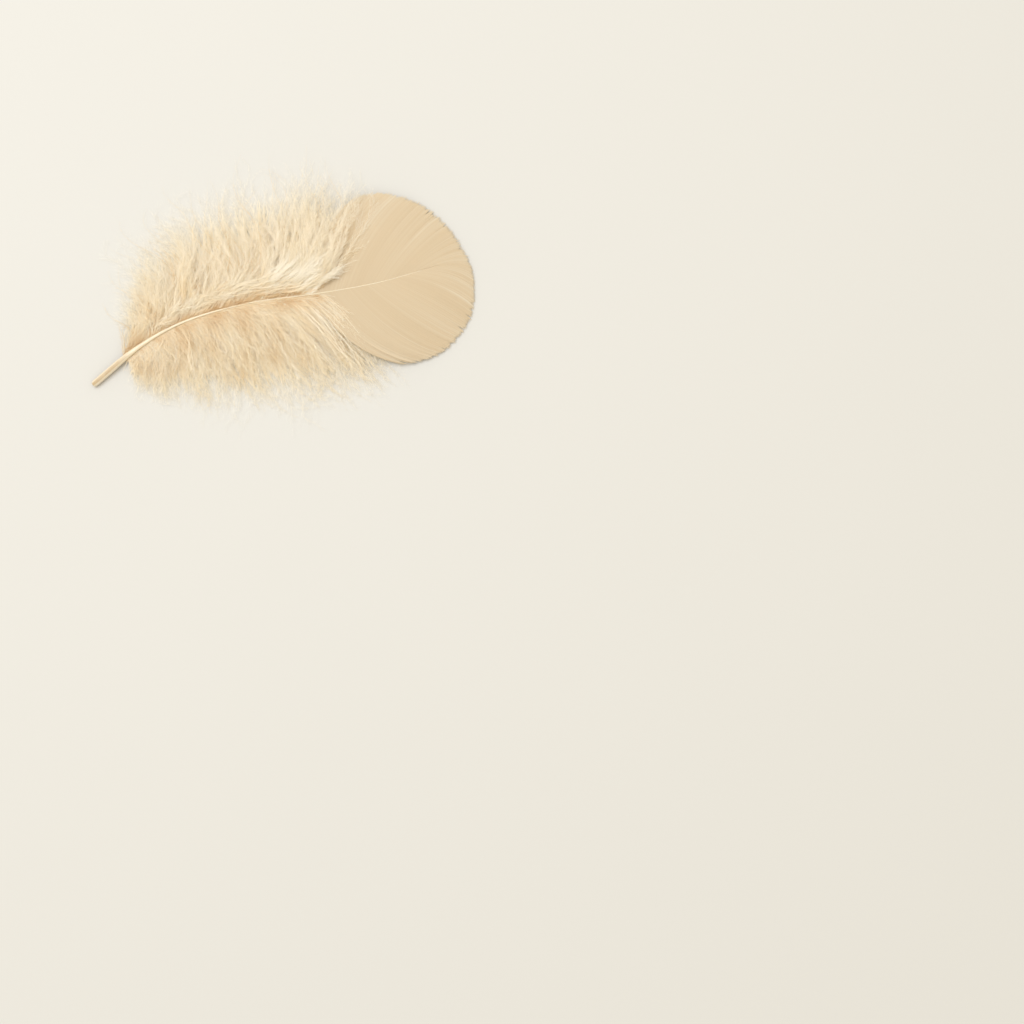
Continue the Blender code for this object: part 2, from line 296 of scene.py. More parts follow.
print("the shaft has", len(list(shaft_rings())), "rings")

# %% The shaft's mesh
# The UV map that the feather's own materials read.
MAP_NAME = "OFBake"
SHAFT_SIDES = 24
GROOVE_WIDTH = math.radians(34.0)


def next_ring(rod, ring):
    """Extrudes the ring's edges and gives the new ring's points in the same order."""
    edges = [e for e in rod.edges if e.verts[0] in ring and e.verts[1] in ring]
    grown = bmesh.ops.extrude_edge_only(rod, edges=edges)["geom"]
    fresh = {v for v in grown if isinstance(v, bmesh.types.BMVert)}
    return [next(o for e in v.link_edges for o in e.verts if o in fresh) for v in ring]


def shaft_mesh():
    """The whole shaft, from the quill's mouth to the tip, as one closed mesh with its map."""
    rod = bmesh.new()
    rings = list(shaft_rings())
    centres = [Vector(read(SHAFT_ROUTE, share)) for share, _, _ in rings]
    mouth_ahead = (centres[len(QUILL_MOUTH)] - centres[2]).normalized()
    strand_map = rod.loops.layers.uv.new(MAP_NAME)
    map_place = {}
    ring = bmesh.ops.create_circle(rod, segments=SHAFT_SIDES, radius=1.0)["verts"]
    turn = [math.atan2(v.co.y, v.co.x) for v in ring]
    for i, (share, radius, groove) in enumerate(rings):
        if i:
            ring = next_ring(rod, ring)
        ahead = (centres[min(i + 1, len(rings) - 1)] - centres[max(i - 1, 0)]).normalized()
        if i < len(QUILL_MOUTH):
            ahead = mouth_ahead
        side = Vector((0.0, 0.0, 1.0)).cross(ahead).normalized()
        up = ahead.cross(side)
        for vert, angle in zip(ring, turn):
            from_below = abs(math.atan2(math.sin(angle + math.pi / 2), math.cos(angle + math.pi / 2)))
            press = 1 - groove * math.exp(-((from_below / GROOVE_WIDTH) ** 2))
            offset = (side * math.cos(angle) + up * math.sin(angle)) * radius * press
            vert.co = Vector(to_part(centres[i])) + offset * MM
            map_place[vert] = (0.5 + 0.5 * math.sin(angle), share)
    bmesh.ops.holes_fill(rod, edges=[e for e in rod.edges if e.is_boundary], sides=SHAFT_SIDES)
    bmesh.ops.recalc_face_normals(rod, faces=rod.faces)
    for face in rod.faces:
        face.smooth = True
        for loop in face.loops:
            loop[strand_map].uv = map_place[loop.vert]
    mesh = bpy.data.meshes.new("shaft")
    rod.to_mesh(mesh)
    rod.free()
    return mesh


rod_mesh = shaft_mesh()
print("shaft:", len(rod_mesh.polygons), "faces")

# %% [markdown]
# ## Horn
#
# The quill is clear horn over white pith. Where it is bare, its two walls carry a painted highlight, its
# middle is a warmer tan that is partly the horn's own colour and partly painted shade, and its underside is
# painted darker as shade. Further on the shaft is ivory with a painted highlight on top, and painted shade
# makes it tan low on its flanks. The strand map runs up the map from quill to tip and across it from the
# shaft's underside to its top, so two ramps across the map and a third along it hold all of that. Noise
# stretched along the shaft adds fine streaks.

# %% A piece of the feather, and the map on it
def link_piece(name, mesh, material):
    """Puts a finished mesh in the scene as a piece of the feather."""
    piece = bpy.data.objects.new(name, mesh)
    bpy.context.scene.collection.objects.link(piece)
    piece.data.materials.append(material)
    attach(piece, "root")
    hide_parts("feather")
    return piece


def read_map(tree):
    """The strand map, and its two directions one by one."""
    strand_map = tree.nodes.new("ShaderNodeUVMap")
    strand_map.uv_map = MAP_NAME
    split = tree.nodes.new("ShaderNodeSeparateXYZ")
    tree.links.new(strand_map.outputs["UV"], split.inputs["Vector"])
    return strand_map, split


print("the horn, the blade and the down all read", MAP_NAME)

# %% The horn's material
HORN_ROUGHNESS = 0.34
HORN_GLOSS = 0.5
HORN_SOFTNESS = 0.10
HORN_DEPTH = 0.0006
HORN_SCATTER = (1.0, 0.7, 0.4)
# Across the bare quill, from its underside at 0 to its top at 1: painted shade underneath, pale walls with a
# painted highlight, and a tan middle that is partly the horn's own colour and partly painted shade.
QUILL_COLOUR_AND_PAINTED_LIGHT_RAMP = (
    (0.30, (0.53, 0.40, 0.25)),
    (0.60, (0.80, 0.71, 0.53)),
    (0.89, (0.83, 0.735, 0.575)),
    (0.965, (0.60, 0.46, 0.28)),
    (1.0, (0.55, 0.42, 0.25)),
)
# Across the shaft further on: painted shade in tan low on its flanks, and ivory with a painted highlight on
# top.
SHAFT_COLOUR_AND_PAINTED_LIGHT_RAMP = (
    (0.35, (0.50, 0.345, 0.19)),
    (0.58, (0.67, 0.51, 0.31)),
    (0.72, (0.83, 0.725, 0.51)),
    (1.0, (0.87, 0.765, 0.585)),
)
# Black is the bare quill and white the shaft, along the way from one to the other.
BARE_RAMP = ((0.0, (0.0, 0.0, 0.0)), (0.085, (0.0, 0.0, 0.0)), (0.145, (1.0, 1.0, 1.0)))
STREAK_SCALE = (9.0, 40.0, 1.0)
STREAK_BUMP = 0.25
STREAK_DEPTH = 0.00005
STREAK_RAMP = ((0.3, (0.86, 0.83, 0.78)), (0.7, (1.0, 1.0, 1.0)))

horn, tree, shader = new_material("ivory_horn", HORN_ROUGHNESS, HORN_GLOSS)
set_inputs(shader, Subsurface_Weight=HORN_SOFTNESS)
set_inputs(shader, Subsurface_Scale=HORN_DEPTH, Subsurface_Radius=HORN_SCATTER)
strand_map, split = read_map(tree)
# The quill's and the shaft's ramps carry their painted highlights and painted shade.
bare = add_ramp(tree, QUILL_COLOUR_AND_PAINTED_LIGHT_RAMP, split.outputs["X"])
shaft_colour_and_painted_light = add_ramp(tree, SHAFT_COLOUR_AND_PAINTED_LIGHT_RAMP, split.outputs["X"])
where = add_ramp(tree, BARE_RAMP, split.outputs["Y"])
blend = tree.nodes.new("ShaderNodeMix")
blend.data_type = "RGBA"
tree.links.new(where.outputs["Color"], blend.inputs["Factor"])
tree.links.new(bare.outputs["Color"], blend.inputs["A"])
tree.links.new(shaft_colour_and_painted_light.outputs["Color"], blend.inputs["B"])
stretch = set_inputs(tree.nodes.new("ShaderNodeMapping"), Scale=STREAK_SCALE)
streaks = set_inputs(tree.nodes.new("ShaderNodeTexNoise"), Scale=1.0, Detail=4.0, Roughness=0.6)
tree.links.new(strand_map.outputs["UV"], stretch.inputs["Vector"])
tree.links.new(stretch.outputs["Vector"], streaks.inputs["Vector"])
streak_tint = add_ramp(tree, STREAK_RAMP, streaks.outputs["Fac"])
tinted = tree.nodes.new("ShaderNodeMix")
tinted.data_type = "RGBA"
tinted.blend_type = "MULTIPLY"
tinted.inputs["Factor"].default_value = 1.0
tree.links.new(blend.outputs["Result"], tinted.inputs["A"])
tree.links.new(streak_tint.outputs["Color"], tinted.inputs["B"])
tree.links.new(tinted.outputs["Result"], shader.inputs["Base Color"])
bump = set_inputs(tree.nodes.new("ShaderNodeBump"), Strength=STREAK_BUMP, Distance=STREAK_DEPTH)
tree.links.new(streaks.outputs["Fac"], bump.inputs["Height"])
tree.links.new(bump.outputs["Normal"], shader.inputs["Normal"])
shaft = link_piece("shaft", rod_mesh, horn)
print(shaft.name, "wears", horn.name)

# %% [markdown]
# ## Meshes from arrays
#
# A feather has hundreds of barbs and each barb has hundreds of barbules. Modelling them one at a time would
# take hours, so they are worked out as arrays and joined into a few meshes. Every strand carries a map named
# OFBake: across the map runs the strand's tone, from shade to light, and up the map runs the way from its
# root to its tip. The materials colour the strands by that map alone.

# %% A joined mesh
# The map's places stay this far inside its borders, so that no strand reads across one.
MAP_MARGIN = 0.004


def joined_mesh(name, points, faces, tones, along):
    """One mesh of many small triangles, from drawing points, and each point's tone and way along."""
    mesh = bpy.data.meshes.new(name)
    mesh.vertices.add(len(points))
    mesh.vertices.foreach_set("co", to_part(points).astype(np.float32).ravel())
    mesh.loops.add(faces.size)
    mesh.loops.foreach_set("vertex_index", faces.astype(np.int32).ravel())
    mesh.polygons.add(len(faces))
    mesh.polygons.foreach_set("loop_start", np.arange(0, faces.size, 3, dtype=np.int32))
    strand_map = mesh.uv_layers.new(name=MAP_NAME)
    places = np.stack([tones, along], -1)[faces.ravel()].clip(MAP_MARGIN, 1 - MAP_MARGIN)
    strand_map.uv.foreach_set("vector", places.astype(np.float32).ravel())
    mesh.update(calc_edges=True)
    mesh.validate()
    return mesh


def ribbons(paths, widths, ups, ridge):
    """A ribbon along each path. Ups points out of its face, and ridge lifts its middle."""
    count, steps = paths.shape[:2]
    ahead = unit(np.gradient(paths, axis=1))
    side = unit(np.cross(ups, ahead))
    half = widths[..., None] / 2
    rows = np.stack([paths - side * half, paths + ups * ridge, paths + side * half], 2)
    corner = np.arange(count * steps * 3).reshape(count, steps, 3)
    a, b = corner[:, :-1, :-1], corner[:, :-1, 1:]
    c, d = corner[:, 1:, 1:], corner[:, 1:, :-1]
    faces = np.stack([np.stack([a, b, c], -1), np.stack([a, c, d], -1)], 0).reshape(-1, 3)
    return rows.reshape(-1, 3), faces


print("maps stay", MAP_MARGIN, "inside their borders")

# %% [markdown]
# ## Where the blade's barbs run
#
# The blade is the smooth, flat end of the feather. Each barb leaves the shaft at about 70 degrees, then
# leans towards the tip, and barbules too fine to see hook it to the next one. The blade is cupped: level by
# the shaft, and lower towards its edge. One function gives the place of any point from how far along the
# blade its barb grows and how far out on the barb it lies, and it is the same for every barb.

# %% The blade's form
BLADE_FROM = 0.60
BLADE_TO = 0.985
BLADE_EDGE = (
    (91.5, 35.0, 2.8),
    (103.0, 32.5, 1.6),
    (113.5, 26.0, 0.9),
    (120.5, 15.0, 0.6),
    (123.2, 1.5, 0.5),
    (119.5, -11.0, 0.5),
    (110.5, -18.8, 0.7),
    (99.5, -21.2, 1.2),
    (88.0, -20.0, 2.2),
)
BLADE_LEAVE_ANGLE = math.radians(72.0)
BLADE_BEND = 0.56
BLADE_CUP = 1.7
# Past this share of the way the shaft's own heading is too short to read.
LAST_HEADING = 0.97


def blade_paths(side, along, across):
    """Points of the barbs that grow at the shares along, read at the shares across. Both are arrays."""
    share = BLADE_FROM + (BLADE_TO - BLADE_FROM) * along
    root = read(SHAFT_ROUTE, share)
    edge = read(BLADE_EDGE, 0.5 * along if side > 0 else 1 - 0.5 * along)
    leave = shaft_heading(np.minimum(share, LAST_HEADING)) + side * BLADE_LEAVE_ANGLE * (1 - along**2)
    reach = np.linalg.norm(edge[..., :2] - root[..., :2], axis=-1, keepdims=True)
    bend = root[..., :2] + toward(leave) * reach * BLADE_BEND
    t = across[..., None]
    flat = root[..., :2] * (1 - t) ** 2 + bend * 2 * t * (1 - t) + edge[..., :2] * t**2
    height = root[..., 2:] + (edge[..., 2:] - root[..., 2:]) * t**BLADE_CUP
    return np.concatenate([flat, height], -1)


tip_point = blade_paths(1, np.ones(1), np.ones(1))[0]
print("the blade's tip lies at", tuple(round(float(c), 1) for c in tip_point), "mm")

# %% [markdown]
# ## The blade's barbs
#
# No blade is perfect. By the down its barbs are loose, at the tip their ends fray, and here and there the
# hooks have let go and a narrow parting opens towards the edge. So each barb takes its place from the form
# above, with small seeded changes to how it leans, reaches and rises. The ribbons are a little wider than the
# gap between barbs, so that the sheet stays closed where it is whole.

# %% Barbs of the blade
# The share of the blade's length where each side's barbs begin to hook together.
BLADE_START = {1: 0.09, -1: 0.16}
BLADE_BARBS = 190
BARB_STEPS = 30
BARB_WIDTH = 0.46
BARB_RIDGE = 0.04
BARB_LOWEST = 0.1
BARB_TIP = 0.12
BLADE_SEED = 5
LOOSE_LENGTH = 0.16
LOOSE_LEAN = 0.010
LOOSE_RISE = 0.3
LOOSE_SINK = 0.8
LOOSE_NARROW = 0.55
FRAY = 0.05
FRAY_EVERYWHERE = 0.30
FRAY_FROM = 0.6
FRAY_AT_TIP = 0.9
UNEVEN_REACH = 0.01
UNEVEN_RISE = 0.04
SWELL = 0.05
SWELLS = 61
# Where barbs have come unhooked, for each side: place along the blade, half width, and how wide it opens.
BLADE_PARTINGS = {
    1: ((0.16, 0.012, 0.004), (0.36, 0.008, 0.002), (0.57, 0.012, 0.006), (0.86, 0.010, 0.004)),
    -1: ((0.26, 0.010, 0.003), (0.45, 0.012, 0.004), (0.63, 0.010, 0.005), (0.72, 0.008, 0.004),
         (0.80, 0.010, 0.005)),
}
PARTING_SPREAD = 2.2
PARTING_FROM = 0.5


def looseness(side, along):
    """How loose each barb is: 1 where the down ends, and 0 where the blade is whole."""
    return np.maximum(0.0, 1 - (along - BLADE_START[side]) / LOOSE_LENGTH) ** 1.5


def blade_barbs(side, along, t, chance):
    """Each barb's points from the shaft to the edge, and its width at each of them."""
    loose = looseness(side, along)
    fray = FRAY_EVERYWHERE + loose + FRAY_AT_TIP * np.maximum(0.0, along - FRAY_FROM)
    jitter = chance.standard_normal(BLADE_BARBS)
    reach = 1 - FRAY * fray * chance.random(BLADE_BARBS) + UNEVEN_REACH * jitter
    lean = along[:, None] + LOOSE_LEAN * (loose * chance.standard_normal(BLADE_BARBS))[:, None] * t**2
    for place, half, opening in BLADE_PARTINGS[side]:
        off = (along - place) / half
        opened = np.sign(off) * opening * np.exp(-np.abs(off) / PARTING_SPREAD)
        lean += opened[:, None] * np.maximum(0, t - PARTING_FROM) ** 1.5 * 2
    paths = blade_paths(side, lean.clip(0, 1), reach[:, None] * t[None, :])
    rise = SWELL * np.sin(along * SWELLS) + UNEVEN_RISE * jitter
    rise = rise + LOOSE_RISE * loose * chance.standard_normal(BLADE_BARBS) - LOOSE_SINK * loose
    paths[..., 2] = np.maximum(paths[..., 2] + rise[:, None] * t**1.5, BARB_LOWEST)
    narrow = (1 - LOOSE_NARROW * np.outer(loose, t)) * (1 - 0.5 * along[:, None] ** 3)
    tip = np.minimum(1.0, (1.0 - t) / BARB_TIP) * 0.8 + 0.2
    widths = BARB_WIDTH * (0.9 + 0.9 * t * np.minimum(1, (1.1 - t) * 4)) * tip * narrow
    return paths, widths


for side, name in ((1, "left"), (-1, "right")):
    print(name, "side:", BLADE_BARBS, "barbs, and", len(BLADE_PARTINGS[side]), "partings")

# %% [markdown]
# ## The blade's tones
#
# From above, the blade is one calm cream with fine lines along its barbs: a few that lie deeper are darker,
# and a few that stand up catch the light. That shade and light are painted into the tone of each barb, so no
# picture is needed. A line is a smooth bump of tone at one place along the blade, and starts a third of the
# way out, where real barbs begin to part.

# %% Tones of the blade
BLADE_TONE = 0.48
TONE_FROM_BARB_TO_BARB = 0.035
LOOSE_TONE = 0.12
# Two slow waves of tone run along the blade: how strong, and how many radians of them.
NEAR_WAVE = (0.03, 23)
EDGE_WAVE = (0.05, 5)
# A few barbs, more of them near the tip, get a painted highlight towards their ends.
PAINTED_HIGHLIGHT_TONE = 0.16
PAINTED_HIGHLIGHT_SHARE = 0.05
PAINTED_HIGHLIGHT_SHARE_AT_TIP = 0.12
# Painted shade lines where a few barbs lie deeper, and painted highlight lines where a few catch the
# light, for each side: place, half width, change of tone.
BLADE_SHADE_AND_HIGHLIGHT_LINES = {
    1: ((0.20, 0.012, 0.14), (0.33, 0.02, 0.06), (0.605, 0.010, -0.20), (0.63, 0.008, 0.12),
        (0.86, 0.010, -0.10)),
    -1: ((0.42, 0.010, -0.07), (0.60, 0.010, 0.08), (0.72, 0.008, -0.12), (0.79, 0.007, 0.16),
         (0.84, 0.007, -0.14), (0.885, 0.006, 0.14), (0.93, 0.008, -0.12)),
}
PAINTED_HIGHLIGHTS_FROM = 0.3
LINES_FROM = 0.35
LINES_RISE = 3


def blade_tones(side, along, t, chance):
    """The tone at each point of each barb, with its painted highlights and painted shade lines."""
    lines = sum(
        change * np.exp(-(((along - place) / half) ** 2)) for place, half, change in BLADE_SHADE_AND_HIGHLIGHT_LINES[side]
    )
    tone = BLADE_TONE + TONE_FROM_BARB_TO_BARB * chance.standard_normal(BLADE_BARBS)
    tone = tone + NEAR_WAVE[0] * np.sin(along * NEAR_WAVE[1]) + LOOSE_TONE * looseness(side, along)
    lit = chance.random(BLADE_BARBS) < PAINTED_HIGHLIGHT_SHARE + PAINTED_HIGHLIGHT_SHARE_AT_TIP * (along > FRAY_FROM)
    painted_highlight = np.where(lit, PAINTED_HIGHLIGHT_TONE, 0.0)[:, None] * np.maximum(0, t - PAINTED_HIGHLIGHTS_FROM)
    tone = tone[:, None] + painted_highlight + EDGE_WAVE[0] * np.cos(along * EDGE_WAVE[1])[:, None] * t
    return tone + lines[:, None] * np.clip((t - LINES_FROM) * LINES_RISE, 0, 1)


print("fine lines:", sum(len(lines) for lines in BLADE_SHADE_AND_HIGHLIGHT_LINES.values()))

# %% Both halves of the blade
# Barbs face a little towards the tip, and one of their edges is lighter than the other.
BARB_FACE_LEAN = 0.12
BARB_EDGE_TONES = (-0.02, 0.0, 0.02)


def blade_side(side):
    """Points, triangles, tones and ways along of one half of the blade."""
    chance = np.random.default_rng(BLADE_SEED + side)
    along = np.linspace(BLADE_START[side], 1.0, BLADE_BARBS)
    t = np.linspace(0.0, 1.0, BARB_STEPS)
    paths, widths = blade_barbs(side, along, t, chance)
    ups = np.zeros_like(paths)
    ups[..., 2] = 1.0
    ups[..., 0] = BARB_FACE_LEAN
    points, faces = ribbons(paths, widths, unit(ups), BARB_RIDGE)
    tone = blade_tones(side, along, t, chance)
    tones = np.repeat(tone.ravel(), 3) + np.tile(BARB_EDGE_TONES, BLADE_BARBS * BARB_STEPS)
    return points, faces, tones, np.tile(np.repeat(t, 3), BLADE_BARBS)


blade_halves = {"blade_left": blade_side(1), "blade_right": blade_side(-1)}
print({name: len(half[1]) for name, half in blade_halves.items()}, "triangles")

# %% [markdown]
# ## The look of barbs
#
# Feather keratin is thin enough for light to pass through, so each material mixes a Principled surface with
# a Translucent one. The map's tone picks the colour from a short ramp, from the warm tan of a shaded strand
# to the pale cream of a lit one, and the way along makes the tip a little lighter. The down has three looks:
# soft for most of it, pale tufts that let less light through and so stand out, and a neutral haze for the
# finest barbules at the rim, which the photograph shows almost white.

# %% Materials for barbs and down
BARB_GLOSS = 0.15
BLADE_RAMP = ((0.0, (0.67, 0.515, 0.32)), (0.5, (0.76, 0.62, 0.42)), (1.0, (0.87, 0.785, 0.62)))
DOWN_RAMP = (
    (0.0, (0.75, 0.54, 0.295)),
    (0.2, (0.875, 0.70, 0.455)),
    (0.45, (0.95, 0.835, 0.63)),
    (0.75, (0.985, 0.905, 0.735)),
    (1.0, (1.0, 0.938, 0.805)),
)
HAZE_RAMP = ((0.0, (0.93, 0.83, 0.64)), (0.6, (0.98, 0.92, 0.79)), (1.0, (0.995, 0.957, 0.87)))


def barb_material(name, ramp_stops, roughness, see_through, tip_light):
    """A thin, warm, slightly see-through surface whose colours follow the strand map."""
    material, tree, shader = new_material(name, roughness, BARB_GLOSS)
    _, split = read_map(tree)
    lighten = tree.nodes.new("ShaderNodeMath")
    lighten.operation = "MULTIPLY_ADD"
    lighten.inputs[1].default_value = tip_light
    tree.links.new(split.outputs["Y"], lighten.inputs[0])
    tree.links.new(split.outputs["X"], lighten.inputs[2])
    ramp = add_ramp(tree, ramp_stops, lighten.outputs["Value"])
    through = tree.nodes.new("ShaderNodeBsdfTranslucent")
    mix = set_inputs(tree.nodes.new("ShaderNodeMixShader"), Fac=see_through)
    tree.links.new(ramp.outputs["Color"], shader.inputs["Base Color"])
    tree.links.new(ramp.outputs["Color"], through.inputs["Color"])
    tree.links.new(shader.outputs["BSDF"], mix.inputs[1])
    tree.links.new(through.outputs["BSDF"], mix.inputs[2])
    tree.links.new(mix.outputs["Shader"], tree.nodes["Material Output"].inputs["Surface"])
    return material


blade_material = barb_material("cream_blade", BLADE_RAMP, roughness=0.5, see_through=0.26, tip_light=0.10)
down_materials = {
    "soft": barb_material("soft_down", DOWN_RAMP, roughness=0.6, see_through=0.46, tip_light=0.30),
    "pale": barb_material("pale_tufts", DOWN_RAMP, roughness=0.6, see_through=0.20, tip_light=0.25),
    "haze": barb_material("pale_haze", HAZE_RAMP, roughness=0.6, see_through=0.46, tip_light=0.30),
}
for name, half in blade_halves.items():
    piece = link_piece(name, joined_mesh(name, *half), blade_material)
    print(name, len(piece.data.polygons), "triangles")

# %% [markdown]
# ## Where the down grows
#
# Down is made of soft barbs that don't hook together. They grow from both sides of the shaft, gather in
# wavy locks, and their tips part. Here they are drawn in rows that lie over each other from the paper up. In
# each row a lock leaves the shaft at one angle, swings towards the feather's outline and ends at another
# angle, and its strands share its waves, so that it reads as one tuft. This cell has the outline and what a
# row usually says; the next one lists the rows.

# %% The outline of the down, and a usual row
DOWN_FROM = 0.112
DOWN_TO = 0.71
DOWN_EDGE = {
    1: ((14.5, 15.5), (17.5, 25.5), (25.0, 36.5), (36.5, 43.5), (51.5, 46.0), (67.0, 45.5), (82.0, 43.5),
        (96.5, 36.0)),
    -1: ((13.5, -1.5), (20.0, -9.5), (30.0, -15.5), (44.0, -20.0), (58.0, -23.5), (72.0, -26.0),
         (84.0, -26.0), (93.0, -22.5)),
}
# Angles are in degrees from the shaft, lengths in millimetres, and shares and tones from 0 to 1. A list is
# read evenly from the row's first lock, by the quill, to its last.
USUAL_ROW = {
    "locks": 34,
    "strands": 6,  # in each lock
    "grows": (0.0, 1.0),  # from which part of the down's length
    "edge": (0.16, 1.0),  # towards which part of the outline
    "reach": (1.0,),  # share of the way to it
    "short": 0.35,  # share of the reach that the shortest strands lose
    "offset": (),  # in place of the outline: how far ahead and aside of its root a tip lies
    "vary": 0.25,  # how much that differs from lock to lock
    "turn": (0,),  # extra turn of a whole lock
    "leave": (34, 20, 16, 14),  # angle at the shaft
    "end": (100, 90, 82, 66),  # angle at the tip
    "pull": 0.46,  # how long a strand keeps its first angle
    "stray": 1.0,  # how much the angles differ
    "lock_half": 1.9,  # half a lock's width
    "splay": 0.4,  # how far its tips spread
    "gap": (0.0,),  # first step out from the shaft
    "wave": 1.0,  # slow waves, shared by a lock
    "crimp": 0.3,  # quick waves of each strand
    "lift": 1.2,  # how high a strand arches
    "dome": 0.5,  # how much higher the middle of a lock stands
    "settle": 0.9,  # share of the way by which a strand has come down
    "tip_height": (0.9,),
    "look": "soft",  # the material
    "tone": 0.5,
    "apart": 0.10,  # tone difference between locks
    "mix": 0.06,  # and between strands
    "calm": 0.0,  # how far out from the shaft these differences begin
    "shade": 0.22,  # how dark the roots are
    "shade_length": 3.5,  # how far that reaches
    "lighten": 0.0,  # tone gained towards the tip
    "glint": 0.03,  # how much lighter a strand is than its barbules
    "width": 0.14,  # a strand's, at its root
    "leaf": False,  # widest in its middle instead
    "per_mm": 6.0,  # barbules on each millimetre
    "barbule": 2.0,  # a barbule's length
    "fine": 1.0,  # share of a barbule's usual width
    "bare": 0.0,  # length by the shaft without barbules
    "starts": 0.0,  # share of the strand before its first one
}


def row(name, side, **values):
    """One row of down: the usual values, with the row's own in their place."""
    return {**USUAL_ROW, "name": name, "side": side, **values}


print("the down grows on", round((DOWN_TO - DOWN_FROM) * SHAFT_LENGTH), "mm of the shaft")
